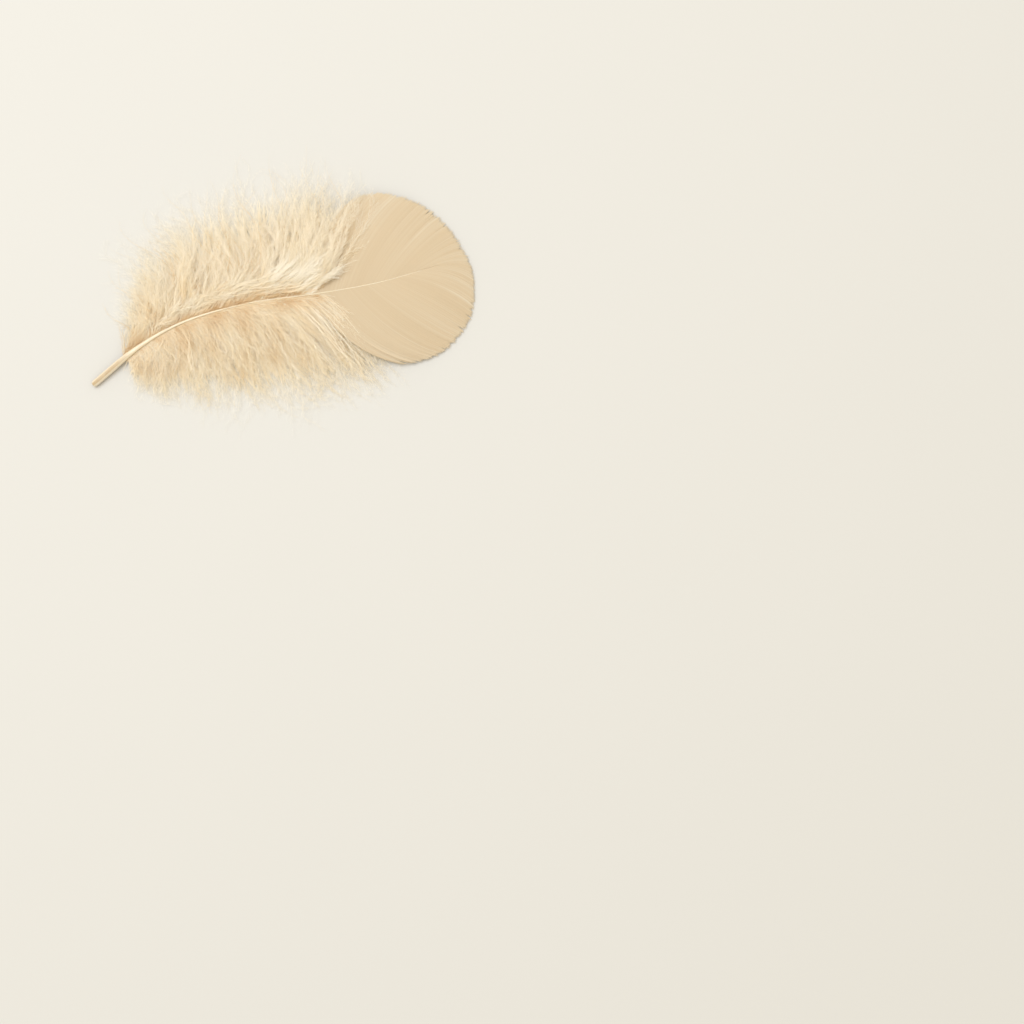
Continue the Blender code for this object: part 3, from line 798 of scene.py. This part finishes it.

# %% [markdown]
# ## The rows of down
#
# The under rows are wide strands that close the feather against the paper; their low tan tone is painted
# shade, which the gaps between the locks above show. The base rows are the first fluff at the quill, and the
# haze and the wisps are the thin rim. The spread and over rows are the main locks. On the fuller side the
# corner runs up along the blade, and pale tufts, a ridge and a fan lie on top beside the shaft. On the other
# side pale tufts lie on the locks, and straight barbs cross onto the blade.

# %% Rows of down
DOWN_ROWS = (
    # Its low tan tone is painted shade, seen in the gaps between the locks above.
    row("down_left_under", 1, locks=46, strands=7, grows=(0.03, 0.92), edge=(0.27, 1.0),
        reach=(0.6, 0.71, 0.73, 0.73), short=0.22, leave=(22, 20, 18, 36), end=(100, 90, 82, 62), stray=0.7,
        lock_half=2.6, splay=1.0, lift=0.2, settle=0.8, tip_height=(0.5,), tone=0.24, apart=0.06, shade=0.4,
        shade_length=5.0, lighten=0.52, width=1.9, leaf=True, per_mm=4.0),
    row("down_left_base", 1, locks=18, grows=(0.0, 0.24), edge=(0.0, 0.28), reach=(1.05,), short=0.6,
        leave=(50, 30, 20), end=(134, 118, 104), pull=0.4, stray=2.4, wave=1.4, tone=0.78, shade=0.1,
        width=0.09, per_mm=2.6, barbule=2.6, fine=0.6),
    row("down_left_haze", 1, locks=62, strands=5, grows=(0.0, 0.92), edge=(0.04, 0.99), reach=(1.05,),
        short=0.4, leave=(34, 20, 20, 44), end=(104, 90, 80, 60), stray=2.2, splay=1.5, wave=1.4, lift=0.8,
        tip_height=(0.8, 1.0, 1.6, 3.4), look="haze", tone=0.72, mix=0.04, shade=0.0, glint=0.0, width=0.07,
        per_mm=6.5, barbule=4.2, fine=0.55, starts=0.6),
    row("down_left_wisps", 1, locks=30, strands=2, grows=(0.0, 0.86), edge=(0.02, 0.95), reach=(1.16,),
        leave=(40, 22, 20, 30), end=(112, 96, 84, 70), stray=2.6, splay=1.4, wave=1.6, crimp=0.1, lift=0.8,
        tip_height=(0.9, 1.2, 1.8, 3.0), tone=0.12, mix=0.05, shade=0.0, glint=0.0, width=0.16, per_mm=1.6,
        barbule=1.3),
    row("down_left_spread", 1, locks=30, strands=9, grows=(0.0, 0.92), edge=(0.23, 1.0),
        reach=(0.9, 1.0, 1.04, 1.05), short=0.55, leave=(24, 20, 18, 40), end=(100, 90, 82, 62), stray=2.1,
        lock_half=2.3, splay=1.0, wave=1.8, dome=0.9, tone=0.66, apart=0.13, shade=0.62, shade_length=6.5,
        lighten=0.24, per_mm=5.0),
    row("down_left_over", 1, locks=22, strands=10, grows=(0.0, 0.92), edge=(0.24, 0.98),
        reach=(0.76, 0.84, 0.88, 0.98), short=0.6, leave=(20, 15, 16, 38), end=(96, 84, 78, 64), stray=2.6,
        lock_half=2.4, splay=0.9, gap=(2.2, 2.4, 3.0, 2.0), wave=2.2, lift=2.2, dome=1.2,
        tip_height=(1.5, 1.7, 2.4, 4.8), tone=0.72, apart=0.16, shade=0.4, shade_length=5.5, lighten=0.2,
        per_mm=4.8, bare=2.0),
    row("down_left_corner", 1, locks=12, strands=8, grows=(0.76, 0.96), edge=(0.84, 1.02), leave=(48, 58),
        end=(66, 56), pull=0.26, stray=0.9, splay=1.2, gap=(1.6,), lift=2.0, tip_height=(4.6,), tone=0.68,
        shade=0.2, per_mm=5.0),
    row("down_left_tufts", 1, locks=22, strands=8, grows=(0.12, 0.76), reach=(0.46, 0.46, 0.5, 0.56),
        short=0.5, turn=(-14, -26, -34, -36), leave=(12, 9, 10, 12), end=(70, 56, 48, 40), stray=3.2,
        lock_half=1.1, splay=1.0, gap=(2.4, 3.0, 4.0, 3.0), wave=0.8, crimp=0.5, lift=3.0,
        tip_height=(3.6, 4.4, 5.4, 6.4), look="pale", shade=0.4, shade_length=5.0, glint=0.1, width=0.18,
        barbule=1.5, bare=3.0),
    row("down_left_ridge", 1, locks=21, strands=7, grows=(0.15, 0.74), short=0.4,
        offset=((8, 4), (10, 6.5), (11, 7), (10, 6)), leave=(20, 16), end=(50, 40), stray=2.4,
        lock_half=1.0, splay=1.0, gap=(2.4, 3.2, 4.2, 2.6), wave=1.4, crimp=0.45, lift=3.6,
        tip_height=(4.6, 5.6, 6.4, 6.6), look="pale", tone=0.56, shade=0.4, shade_length=4.0, glint=0.1,
        width=0.18, barbule=1.4, bare=3.0),
    row("down_left_fan", 1, locks=15, strands=12, grows=(0.66, 0.93), short=0.25,
        offset=((16.5, 15.0), (17.8, 12.6), (10.8, 3.4)), vary=0.06, leave=(34, 28, 18), end=(60, 36, 2),
        stray=0.85, lock_half=1.0, splay=1.6, gap=(3.4, 2.8, 1.5), wave=0.5, lift=2.6, tip_height=(7.0,),
        look="pale", tone=0.88, mix=0.11, shade=0.0, glint=0.08, width=0.26, barbule=1.4, bare=3.0),
    # Its low tan tone is painted shade, seen in the gaps between the locks above.
    row("down_right_under", -1, locks=50, strands=7, grows=(0.04, 0.93), edge=(0.04, 1.0),
        reach=(0.66, 0.69, 0.74, 0.8), leave=(64, 50, 42, 34), end=(104, 88, 70, 54), stray=0.7,
        lock_half=2.4, splay=1.0, lift=0.2, settle=0.8, tip_height=(0.6, 0.7, 1.2), tone=0.22, apart=0.06,
        lighten=0.42, width=2.2, leaf=True, per_mm=4.0),
    row("down_right_base", -1, locks=16, grows=(0.0, 0.16), edge=(0.0, 0.18), reach=(1.1,), short=0.6,
        leave=(56, 46), end=(128, 100), pull=0.4, stray=2.4, wave=2.0, lift=1.4, tone=0.8, shade=0.1,
        per_mm=4.5),
    row("down_right_haze", -1, locks=54, strands=5, grows=(0.0, 0.95), edge=(0.02, 1.0), reach=(1.02,),
        short=0.4, leave=(66, 50, 42, 36), end=(110, 88, 66, 52), stray=2.2, splay=1.5, wave=1.4, lift=0.7,
        tip_height=(0.8,), look="haze", tone=0.72, mix=0.04, shade=0.0, glint=0.0, width=0.07, per_mm=6.5,
        barbule=3.6, fine=0.55, starts=0.6),
    row("down_right_spread", -1, locks=46, grows=(0.0, 0.93), edge=(0.09, 1.0), short=0.5,
        leave=(66, 50, 42, 36), end=(106, 76, 54, 46), splay=1.1, crimp=0.6, lift=0.7, dome=0.2, tone=0.47,
        apart=0.08, calm=7.0, per_mm=5.2),
    row("down_right_over", -1, locks=44, strands=5, grows=(0.0, 0.88), edge=(0.13, 1.0), reach=(0.84,),
        short=0.6, leave=(56, 44, 38, 34), end=(106, 74, 50, 40), stray=3.8, splay=1.1, wave=2.4, crimp=0.7,
        lift=1.1, dome=0.2, tip_height=(1.6,), apart=0.07, calm=9.0, glint=0.05, width=0.17, per_mm=5.2),
    row("down_right_tufts", -1, locks=44, strands=5, grows=(0.0, 0.84), edge=(0.06, 0.9), reach=(0.54,),
        short=0.6, turn=(0, -2, -6, -4), leave=(50, 40, 32, 28), end=(88, 58, 40, 32), stray=4.4,
        lock_half=0.9, splay=1.0, wave=2.0, crimp=0.8, lift=1.5, dome=0.2, tip_height=(2.6,), look="pale",
        tone=0.36, mix=0.08, calm=8.0, glint=0.12, width=0.2, barbule=1.3, bare=3.0),
    row("down_right_straight", -1, locks=9, strands=5, grows=(0.7, 0.95), edge=(0.74, 0.97), reach=(0.96,),
        short=0.3, leave=(44, 46), end=(50, 50), stray=0.7, lock_half=1.4, wave=0.25, lift=0.6,
        tip_height=(1.6, 2.2), look="pale", tone=0.46, glint=0.14, width=0.2, per_mm=2.5, barbule=1.1),
)
print(len(DOWN_ROWS), "rows with", sum(each["locks"] * each["strands"] for each in DOWN_ROWS), "strands")

# %% [markdown]
# ## From root to tip
#
# A strand is planned before it is drawn: where it leaves the shaft, where it ends, and the angles at both
# ends. Down looks soft because the strands of a lock agree and the locks don't, so there are two kinds of
# chance: one number for a whole lock, and one for each strand. Both come from one seeded source, and stay
# within two deviations, so that no lone hair flies off.

# %% Chance for locks and for strands
MOST_DEVIATION = 2


class RowChance:
    """Seeded draws for one row: one number for each lock, or one for each strand."""

    def __init__(self, row, seed):
        self.source = np.random.default_rng(seed)
        self.lock = np.repeat(np.arange(row["locks"]), row["strands"])
        self.locks = row["locks"]
        self.strands = len(self.lock)

    def per_lock(self):
        return self.source.standard_normal(self.locks).clip(-MOST_DEVIATION, MOST_DEVIATION)[self.lock]

    def per_strand(self):
        return self.source.standard_normal(self.strands).clip(-MOST_DEVIATION, MOST_DEVIATION)

    def both(self, for_lock, for_strand):
        return for_lock * self.per_lock() + for_strand * self.per_strand()


print("draws stay within", MOST_DEVIATION, "deviations")

# %% Where the strands leave the shaft
# In shares of the shaft's radius.
ROOT_BELOW = 0.35
ROOT_ASIDE = 0.75
# How much places differ: across the lock, from lock to lock, and from strand to strand.
UNEVEN_BESIDE = 0.15
UNEVEN_LOCKS = 0.25
UNEVEN_ROOTS = 0.004
# Half of a lock's root, in steps from one lock to the next.
LOCK_HALF_STEP = 0.6


def along_row(values, middle):
    """A row's values read at each lock's place. One value alone holds for the whole row."""
    return read(tuple(values) * (2 if len(values) == 1 else 1), middle)


def strand_roots(row, chance):
    """Where each strand leaves the shaft, and its place across its lock."""
    locks, strands = row["locks"], row["strands"]
    beside = np.tile(np.linspace(-1, 1, strands), locks)
    beside = beside + UNEVEN_BESIDE * chance.source.standard_normal(chance.strands)
    first, last = row["grows"]
    middle = (chance.lock + 0.5 + UNEVEN_LOCKS * chance.per_lock()) / locks * (last - first)
    middle = (middle + first).clip(0, 1)
    place = middle + beside * LOCK_HALF_STEP * (last - first) / locks
    place = (place + UNEVEN_ROOTS * chance.per_strand()).clip(0, 1)
    share = DOWN_FROM + (DOWN_TO - DOWN_FROM) * place
    heading = shaft_heading(share)
    radius = read(SHAFT_RADII, share)
    point = read(SHAFT_ROUTE, share)
    out = toward(heading + row["side"] * math.pi / 2)
    point[:, :2] += out * (radius * ROOT_ASIDE)[:, None]
    point[:, 2] -= radius * ROOT_BELOW
    way_in = ((middle - first) / (last - first)).clip(0, 1)
    return SimpleNamespace(
        point=point, out=out, heading=heading, radius=radius, beside=beside, middle=middle, way_in=way_in
    )


print("strands leave the shaft from", DOWN_FROM, "to", DOWN_TO, "of its way")

# %% Where the strands end
# How much strands differ, for a whole lock and for one strand. Angles are in degrees.
REACH_DIFFERS = (0.05, 0.03)
TURN_DIFFERS = (3.0, 3.0)
LEAVE_DIFFERS = (6.0, 4.0)
END_DIFFERS = (11.0, 8.0)
# A few strands, those drawn past this share, are longer by this much.
LONG_FROM = 0.88
LONGER = 0.12


def strand_tips(row, roots, chance):
    """Where each strand ends, how far that is from its root, and the angles at its root and tip."""
    side, way_in, stray = row["side"], roots.way_in, row["stray"]
    lock_share = DOWN_FROM + (DOWN_TO - DOWN_FROM) * roots.middle
    lock_root = read(SHAFT_ROUTE, lock_share)[:, :2]
    base = shaft_heading(lock_share)
    from_edge, to_edge = row["edge"]
    edge = read(DOWN_EDGE[side], from_edge + (to_edge - from_edge) * way_in)
    from_lock, from_strand = REACH_DIFFERS
    reach = 1 + from_lock * chance.per_lock() + from_strand * chance.per_strand()
    reach = along_row(row["reach"], way_in) * reach
    shorter = row["short"] * chance.source.random(chance.strands) ** 1.6
    reach = reach * (1 - shorter + LONGER * (chance.source.random(chance.strands) > LONG_FROM))
    aim = edge - lock_root
    if row["offset"]:
        ahead, aside = read(row["offset"], way_in).T
        ahead = ahead * (1 + row["vary"] * chance.per_lock())
        aside = aside * (1 + row["vary"] * chance.per_lock())
        aim = toward(base) * ahead[:, None] + toward(base + side * math.pi / 2) * aside[:, None]
    turn = side * np.radians(along_row(row["turn"], way_in))
    turn = turn + stray * np.radians(chance.both(*TURN_DIFFERS))
    turned_x = aim[:, 0] * np.cos(turn) - aim[:, 1] * np.sin(turn)
    turned_y = aim[:, 0] * np.sin(turn) + aim[:, 1] * np.cos(turn)
    tip = lock_root + np.stack([turned_x, turned_y], -1) * reach[:, None]
    way = np.linalg.norm(tip - roots.point[:, :2], axis=1)[:, None]
    leave = along_row(row["leave"], way_in) + stray * chance.both(*LEAVE_DIFFERS)
    leave = roots.heading + side * np.radians(leave)
    end = along_row(row["end"], way_in) + stray * chance.both(*END_DIFFERS)
    end = base + side * np.radians(end)
    splay = (roots.beside * row["lock_half"] * row["splay"])[:, None]
    tip = tip + toward(end + math.pi / 2) * splay * side
    return SimpleNamespace(point=tip, way=way, leave=leave, end=end)


print("about", round(100 * (1 - LONG_FROM)), "in 100 strands are longer than their neighbours")

# %% [markdown]
# ## The arc, the waves and the height
#
# Each strand is a cubic arc from its root to its tip, which keeps both angles. Slow waves that its lock
# shares and quick ones of its own are laid over it, and grow towards the tip. The upper rows step out from
# the shaft before they swing along it, and no strand lies over the shaft. A strand comes down from the shaft
# to the paper, arches a little on the way, and stands highest in the middle of its lock.

# %% Arcs and waves
END_PULL = 0.36
# How many waves a strand has, and how much that differs.
WAVES = (1.7, 0.3)
CRIMPS = (4.0, 0.8)
# The size of waves, as a share of the strand's length.
WAVE_SIZE = 0.03
LOCK_BULGE = 0.6


def arcs(row, roots, tips, t):
    """Each strand's smooth arc on the paper, before its waves."""
    t = t[..., None]
    a, d = roots.point[:, None, :2], tips.point[:, None, :]
    b = a + (toward(tips.leave) * tips.way * row["pull"])[:, None, :]
    c = d - (toward(tips.end) * tips.way * END_PULL)[:, None, :]
    return a * (1 - t) ** 3 + 3 * b * t * (1 - t) ** 2 + 3 * c * t**2 * (1 - t) + d * t**3


def waves(size, count, differs, t, draw):
    """Waves that grow towards the tip. Their number and start are drawn for each lock or each strand."""
    turns = (count + differs * draw()[:, None]) * t + draw()[:, None]
    return size * t * np.sin(2 * math.pi * turns)


def waved(row, roots, tips, flat, t, chance):
    """The arcs with the bulge of their lock and both kinds of waves."""
    ahead = unit(np.gradient(flat, axis=1))
    across = np.stack([-ahead[..., 1], ahead[..., 0]], -1)
    bulge = -row["side"] * roots.beside[:, None] * row["lock_half"] * LOCK_BULGE * np.sin(math.pi * t)
    slow = waves(row["wave"], *WAVES, t, chance.per_lock)
    quick = waves(row["crimp"], *CRIMPS, t, chance.per_strand)
    return flat + across * (bulge + (slow + quick) * (tips.way * WAVE_SIZE))[..., None]


print("slow waves:", WAVES[0], "and quick waves:", CRIMPS[0])

# %% Beside the shaft, and in height
STRAND_STEPS = 20
STEP_OUT_LENGTH = 3.0
# How far strands stay off the shaft's middle: a share of its radius, and a little more.
CLEAR_SHARE = 0.95
CLEAR_OF_SHAFT = 0.1
LOWEST = 0.06
LIFT_DIFFERS = 0.3
HEIGHT_WAVES = 2.2
HEIGHT_WAVE = 0.3
HEIGHT_DIFFERS = 0.2
# Strands at the sides of a lock are painted darker, as the shade between locks.
LOCK_SIDE_SHADE = 0.05


def beside_shaft(row, roots, tips, flat, t):
    """The strands stepped out from the shaft, and none of them over it."""
    stepped = np.clip(t * tips.way / STEP_OUT_LENGTH, 0.0, 1.0)
    step_out = along_row(row["gap"], roots.way_in)[:, None] * stepped * (1 - t)
    flat = flat + roots.out[:, None, :] * step_out[..., None]
    middle_line = np.interp(flat[..., 0], shaft_line[:, 0], shaft_line[:, 1])
    clear = roots.radius[:, None] * CLEAR_SHARE + CLEAR_OF_SHAFT
    flat[..., 1] += row["side"] * np.maximum(0.0, clear - (flat[..., 1] - middle_line) * row["side"])
    return flat


def heights(row, roots, tips, t, chance):
    """How high each point of each strand lies."""
    fall = np.minimum(1.0, t / row["settle"])
    start = roots.point[:, 2][:, None]
    tip_height = along_row(row["tip_height"], roots.way_in)[:, None]
    height = start + (tip_height - start) * (fall * fall * (3 - 2 * fall))
    lift = row["lift"] * (1 + LIFT_DIFFERS * chance.per_lock()[:, None]) * (tips.way * WAVE_SIZE)
    height = height + lift * np.sin(math.pi * t**0.8) ** 1.3
    height = height + (1 - roots.beside[:, None] ** 2) * row["dome"] * np.sin(math.pi * t)
    turns = HEIGHT_WAVES * t + chance.per_lock()[:, None]
    height = height + HEIGHT_WAVE * t * np.sin(2 * math.pi * turns)
    height = height + HEIGHT_DIFFERS * t * chance.per_strand()[:, None]
    return np.maximum(height, LOWEST)


def strand_paths(row, chance):
    """Every strand of a row as points from root to tip, with its tone and its length."""
    roots = strand_roots(row, chance)
    tips = strand_tips(row, roots, chance)
    t = np.linspace(0, 1, STRAND_STEPS)[None, :]
    flat = waved(row, roots, tips, arcs(row, roots, tips, t), t, chance)
    flat = beside_shaft(row, roots, tips, flat, t)
    paths = np.concatenate([flat, heights(row, roots, tips, t, chance)[..., None]], -1)
    tone = row["tone"] + row["apart"] * chance.per_lock() + row["mix"] * chance.per_strand()
    # The sides of each lock get painted shade.
    return paths, tone - LOCK_SIDE_SHADE * roots.beside**2, tips.way[:, 0]


print("each strand has", STRAND_STEPS, "points")

# %% [markdown]
# ## Barbules
#
# What makes down soft is the fringe of barbules on each barb. Each one leaves its barb at a narrow angle and
# bends to run along with it. A barbule here is a thin sliver of two triangles, bent in the middle and
# pointed at both ends, and it faces outwards from its barb, so that a strand takes the light like a soft
# round cord. They are finer and fewer near the tips, where real down thins out to a haze.

# %% Barbules on every strand
BARBULE_WIDTH = 0.08
BARBULE_THINNING = 0.8
BARBULE_LEAN = (14, 44)
BARBULE_ROLL = (-50, 70)
TIP_LEAN = 10
BARBULE_BEND_DIFFERS = 0.3
BARBULES_FROM = 0.02
BARBULES_SPAN = 0.97
# The four points of a sliver are its root, its two middle corners and its tip.
SLIVER = np.array([[0, 2, 1], [1, 2, 3]])


def barbule_roots(paths, lengths, row, chance):
    """Which strand each barbule grows on, how far along it, the point, and the strand's direction there."""
    most = int(lengths.max() * row["per_mm"])
    size = (len(paths), most)
    at = (np.arange(most)[None, :] + chance.random(size)) / most
    keep = chance.random(size) < (lengths / lengths.max())[:, None] * (1 - BARBULE_THINNING * at**2.5)
    keep &= at * lengths[:, None] > row["bare"] * (0.6 + 0.4 * chance.random(size))
    keep &= at > row["starts"] * (0.8 + 0.4 * chance.random(size))
    which, _ = np.nonzero(keep)
    at = at[keep] * BARBULES_SPAN + BARBULES_FROM
    place = at * (STRAND_STEPS - 1)
    first = np.minimum(place.astype(int), STRAND_STEPS - 2)
    part = (place - first)[:, None]
    a, b = paths[which, first], paths[which, first + 1]
    return which, at, a + (b - a) * part, unit(b - a)


def slivers(root, ahead, at, row, chance):
    """The four points of each barbule, and the sine of how far it is rolled round its strand."""
    up = np.zeros_like(ahead)
    up[:, 2] = 1.0
    side = unit(np.cross(up, ahead))
    top = np.cross(ahead, side)
    hand = np.where(chance.random(len(at)) < 0.5, -1.0, 1.0)[:, None]
    roll = np.radians(chance.uniform(*BARBULE_ROLL, len(at)))[:, None]
    outwards = side * hand * np.cos(roll) + top * np.sin(roll)
    lean = np.radians(chance.uniform(*BARBULE_LEAN, len(at)) + TIP_LEAN * at**2)[:, None]
    way = unit(ahead * np.cos(lean) + outwards * np.sin(lean))
    swell = 0.5 + 0.6 * np.sin(math.pi * np.minimum(1, at * 0.8 + 0.1))
    long = (row["barbule"] * (0.5 + 0.8 * chance.random(len(at))) * swell * (1 - 0.4 * at**3))[:, None]
    middle = root + way * long * 0.5
    bent = unit(way + ahead * 0.6 + BARBULE_BEND_DIFFERS * chance.standard_normal((len(at), 3)))
    tip = middle + bent * long * 0.5
    face = unit(top * 0.9 + outwards * 0.6)
    wide = unit(np.cross(face, way)) * (BARBULE_WIDTH * row["fine"] / 2 * (1 - 0.5 * at**2))[:, None]
    points = np.stack([root, middle - wide, middle + wide, tip], 1)
    points[..., 2] = np.maximum(points[..., 2], LOWEST)
    return points, np.sin(roll[:, 0])


print("a barbule has", len(SLIVER), "triangles and is", BARBULE_WIDTH, "mm wide")

# %% [markdown]
# ## The tones of the down
#
# Each row has its tone, and each lock and strand differs from it a little. That difference fades towards the
# tip, and in a calm row also next to the shaft, where the photograph shows one even tan. The roots are
# painted darker, as the shade they lie in, and soft patches of painted light and shade, some millimetres
# wide, run through all the rows alike. The strands and their barbules use the same sum, so that they belong
# together.

# %% Tones of strands and barbules
PATCH_SEED = 8
PATCH_WAVES = 7
PATCH_DEPTH = 0.11
PATCH_LENGTHS = (6, 18)
TIP_CALM = 0.6


def wakes(distance, along, row):
    """How far a strand shows its own tone: less at its tip, and in a calm row also less near the shaft."""
    near_shaft = np.exp(-distance / row["calm"]) if row["calm"] else 0.0
    return (1 - near_shaft) * (1 - TIP_CALM * along**2)


def patches(places):
    """Soft patches of painted light and shade on the down, some millimetres wide, the same for every row."""
    chance = np.random.default_rng(PATCH_SEED)
    found = np.zeros(places.shape[:-1])
    for _ in range(PATCH_WAVES):
        heading = chance.uniform(0, 2 * math.pi)
        length = chance.uniform(*PATCH_LENGTHS)
        start = chance.uniform(0, 2 * math.pi)
        along = places[..., 0] * math.cos(heading) + places[..., 1] * math.sin(heading)
        found += np.sin(2 * math.pi * along / length + start)
    return found * PATCH_DEPTH / math.sqrt(PATCH_WAVES)


def toned(row, own, distance, along, places):
    """The tone at each place, from the row, the strand itself, the way to its tip and the patches."""
    mixed = row["tone"] + (own - row["tone"]) * wakes(distance, along, row)
    return mixed + row["lighten"] * along + patches(places)


def root_shade(row, distance):
    """How much darker the down is this far along a strand, because its neighbours cover it."""
    return row["shade"] * np.exp(-distance / row["shade_length"])


print("patches are", PATCH_LENGTHS[0], "to", PATCH_LENGTHS[1], "mm long")

# %% Barbules with their tones
BARBULE_TONE_DIFFERS = 0.06
# Barbules rolled towards the top of their strand get a painted highlight, and those rolled under it painted
# shade.
BARBULE_ROLL_PAINTED_LIGHT = 0.06
BARBULE_SHADE = 0.03
# A strand takes this much of the way up the map, and its barbules reach on past it.
STRAND_WAY = 0.8
# The change of tone, and of the way up the map, at the four points of a sliver.
SLIVER_TONES = np.array([0.0, -0.004, 0.004, 0.0])
SLIVER_WAYS = np.array([0.0, 0.1, 0.1, 0.2])


def barbules(paths, lengths, tones, row, chance):
    """Slivers along each strand, as points, triangles, tones and ways along."""
    which, at, root, ahead = barbule_roots(paths, lengths, row, chance)
    points, rolled = slivers(root, ahead, at, row, chance)
    faces = (np.arange(len(at))[:, None, None] * 4 + SLIVER[None]).reshape(-1, 3)
    distance = at * lengths[which]
    shade = root_shade(row, distance)
    own = toned(row, tones[which], distance, at, root)
    tone = own - shade + BARBULE_TONE_DIFFERS * chance.standard_normal(len(at))
    # Painted highlight on the strand's upper barbules, and painted shade on those beneath.
    tone = (tone + BARBULE_ROLL_PAINTED_LIGHT * rolled - BARBULE_SHADE)[:, None] + SLIVER_TONES
    along = at[:, None] * STRAND_WAY + SLIVER_WAYS
    return points.reshape(-1, 3), faces, tone.ravel(), along.ravel()


print("a barbule is", BARBULE_SHADE, "darker than its strand")

# %% [markdown]
# ## A whole row
#
# A row is its strands and the barbules on them, joined as one mesh. A strand is a narrow ribbon that thins
# out to its tip, or in the under rows a leaf that is widest in its middle, since those have to close the
# feather from below. All rows are worked out before any is put in the scene, because the next step looks at
# them together.

# %% Dress the rows
DOWN_SEED = 21
STRAND_RIDGE = 0.04
STRAND_TAPER = 0.9
STRAND_EDGE_TONES = (-0.01, 0.0, 0.01)
# The least share of its row's glint that a strand has, and how much more it may have.
GLINT_LEAST = 0.3
GLINT_MORE = 1.4


def strand_widths(row, t):
    """A strand's width along its way: thinner towards the tip, or widest in the middle in a leafy row."""
    if row["leaf"]:
        return row["width"] * np.sin(math.pi * (0.06 + 0.94 * t**0.7))
    return row["width"] * (1 - STRAND_TAPER * t)


def down_row(row, chance):
    """A whole row of down: its strands, and the barbules on them."""
    paths, tone, lengths = strand_paths(row, chance)
    t = np.linspace(0, 1, STRAND_STEPS)
    ups = np.zeros_like(paths)
    ups[..., 2] = 1.0
    widths = np.tile(strand_widths(row, t), (len(paths), 1))
    strand_points, strand_faces = ribbons(paths, widths, ups, STRAND_RIDGE)
    distance = np.outer(lengths, t)
    glint = row["glint"] * (GLINT_LEAST + GLINT_MORE * chance.source.random(len(paths)))
    own = toned(row, (tone + glint)[:, None], distance, t, paths)
    strand_tones = np.repeat((own - root_shade(row, distance)).ravel(), 3)
    strand_tones = strand_tones + np.tile(STRAND_EDGE_TONES, len(paths) * STRAND_STEPS)
    strand_ways = np.tile(np.repeat(t * STRAND_WAY, 3), len(paths))
    points, faces, tones, ways = barbules(paths, lengths, tone, row, chance.source)
    return (
        np.vstack([strand_points, points]),
        np.vstack([strand_faces, faces + len(strand_points)]),
        np.concatenate([strand_tones, tones]),
        np.concatenate([strand_ways, ways]),
    )


dressed = [down_row(each, RowChance(each, DOWN_SEED + i)) for i, each in enumerate(DOWN_ROWS)]
print("triangles in all rows:", sum(len(faces) for _, faces, _, _ in dressed))

# %% [markdown]
# ## Deeper down is painted darker and warmer
#
# Light that reaches deep down has passed through many barbs, and each has taken some of its blue. A renderer
# with a few bounces shows such places grey instead. So light and shade are painted into the tone: it rises
# with a point's height over the mean height of all the down around it, and falls, as painted shade, in the
# hollow between the shaft and the locks on its fuller side, where the photograph is darkest. Both changes are
# to the tone alone, and no point moves.

# %% Painted light by depth, and painted shade in the hollow by the shaft
DEPTH_CELL = 1.5
# Points above the mean height of the down around them are painted lighter, and points below it darker and
# warmer.
DEPTH_PAINTED_LIGHT_AND_SHADE = 0.09
DEPTH_MOST = 2.5
# Painted shade in the hollow between the shaft and the locks on its fuller side.
HOLLOW_PAINTED_SHADE = 0.21
VALLEY_HALF = 2.4
VALLEY_FROM = 11.0
VALLEY_TO = 86.0
VALLEY_FADE_IN = 6.0
VALLEY_FADE_OUT = 8.0


def mean_height(points):
    """How high the down stands in each cell of a grid over the drawing, read back at each point."""
    cells = ((points[:, :2] - points[:, :2].min(0)) / DEPTH_CELL).astype(int)
    across = cells[:, 1].max() + 1
    cell = cells[:, 0] * across + cells[:, 1]
    return (np.bincount(cell, points[:, 2]) / np.maximum(1, np.bincount(cell)))[cell]


def valley(points):
    """How deep a point lies in the painted shade of the hollow between the shaft and the locks on its fuller
    side.
    """
    aside = points[:, 1] - np.interp(points[:, 0], shaft_line[:, 0], shaft_line[:, 1])
    begin = np.clip((points[:, 0] - VALLEY_FROM) / VALLEY_FADE_IN, 0, 1)
    end = np.clip((VALLEY_TO - points[:, 0]) / VALLEY_FADE_OUT, 0, 1)
    return np.where(aside > 0, np.exp(-((aside / VALLEY_HALF) ** 2)), 0.0) * (begin * end)


everywhere = np.vstack([points for points, _, _, _ in dressed])
above = (everywhere[:, 2] - mean_height(everywhere)).clip(-DEPTH_MOST, DEPTH_MOST)
above = np.split(above, np.cumsum([len(points) for points, _, _, _ in dressed])[:-1])
print("points of down:", len(everywhere))

# %% [markdown]
# ## The down in the scene
#
# Each row becomes one piece with its own name, so that a row can be hidden or changed alone. Every piece
# rides on the feather and takes the place of the same solid, and its material follows from the row's look.

# %% Link the down
total = 0
for each, (points, faces, tones, ways), height in zip(DOWN_ROWS, dressed, above):
    # Painted light and shade: lighter above the mean height, darker below it and in the hollow by the shaft.
    tones = tones + DEPTH_PAINTED_LIGHT_AND_SHADE * height - HOLLOW_PAINTED_SHADE * valley(points)
    mesh = joined_mesh(each["name"], points, faces, tones, ways)
    piece = link_piece(each["name"], mesh, down_materials[each["look"]])
    total += len(mesh.polygons)
    print(each["name"], len(mesh.polygons), "triangles")
print("down in all:", total)
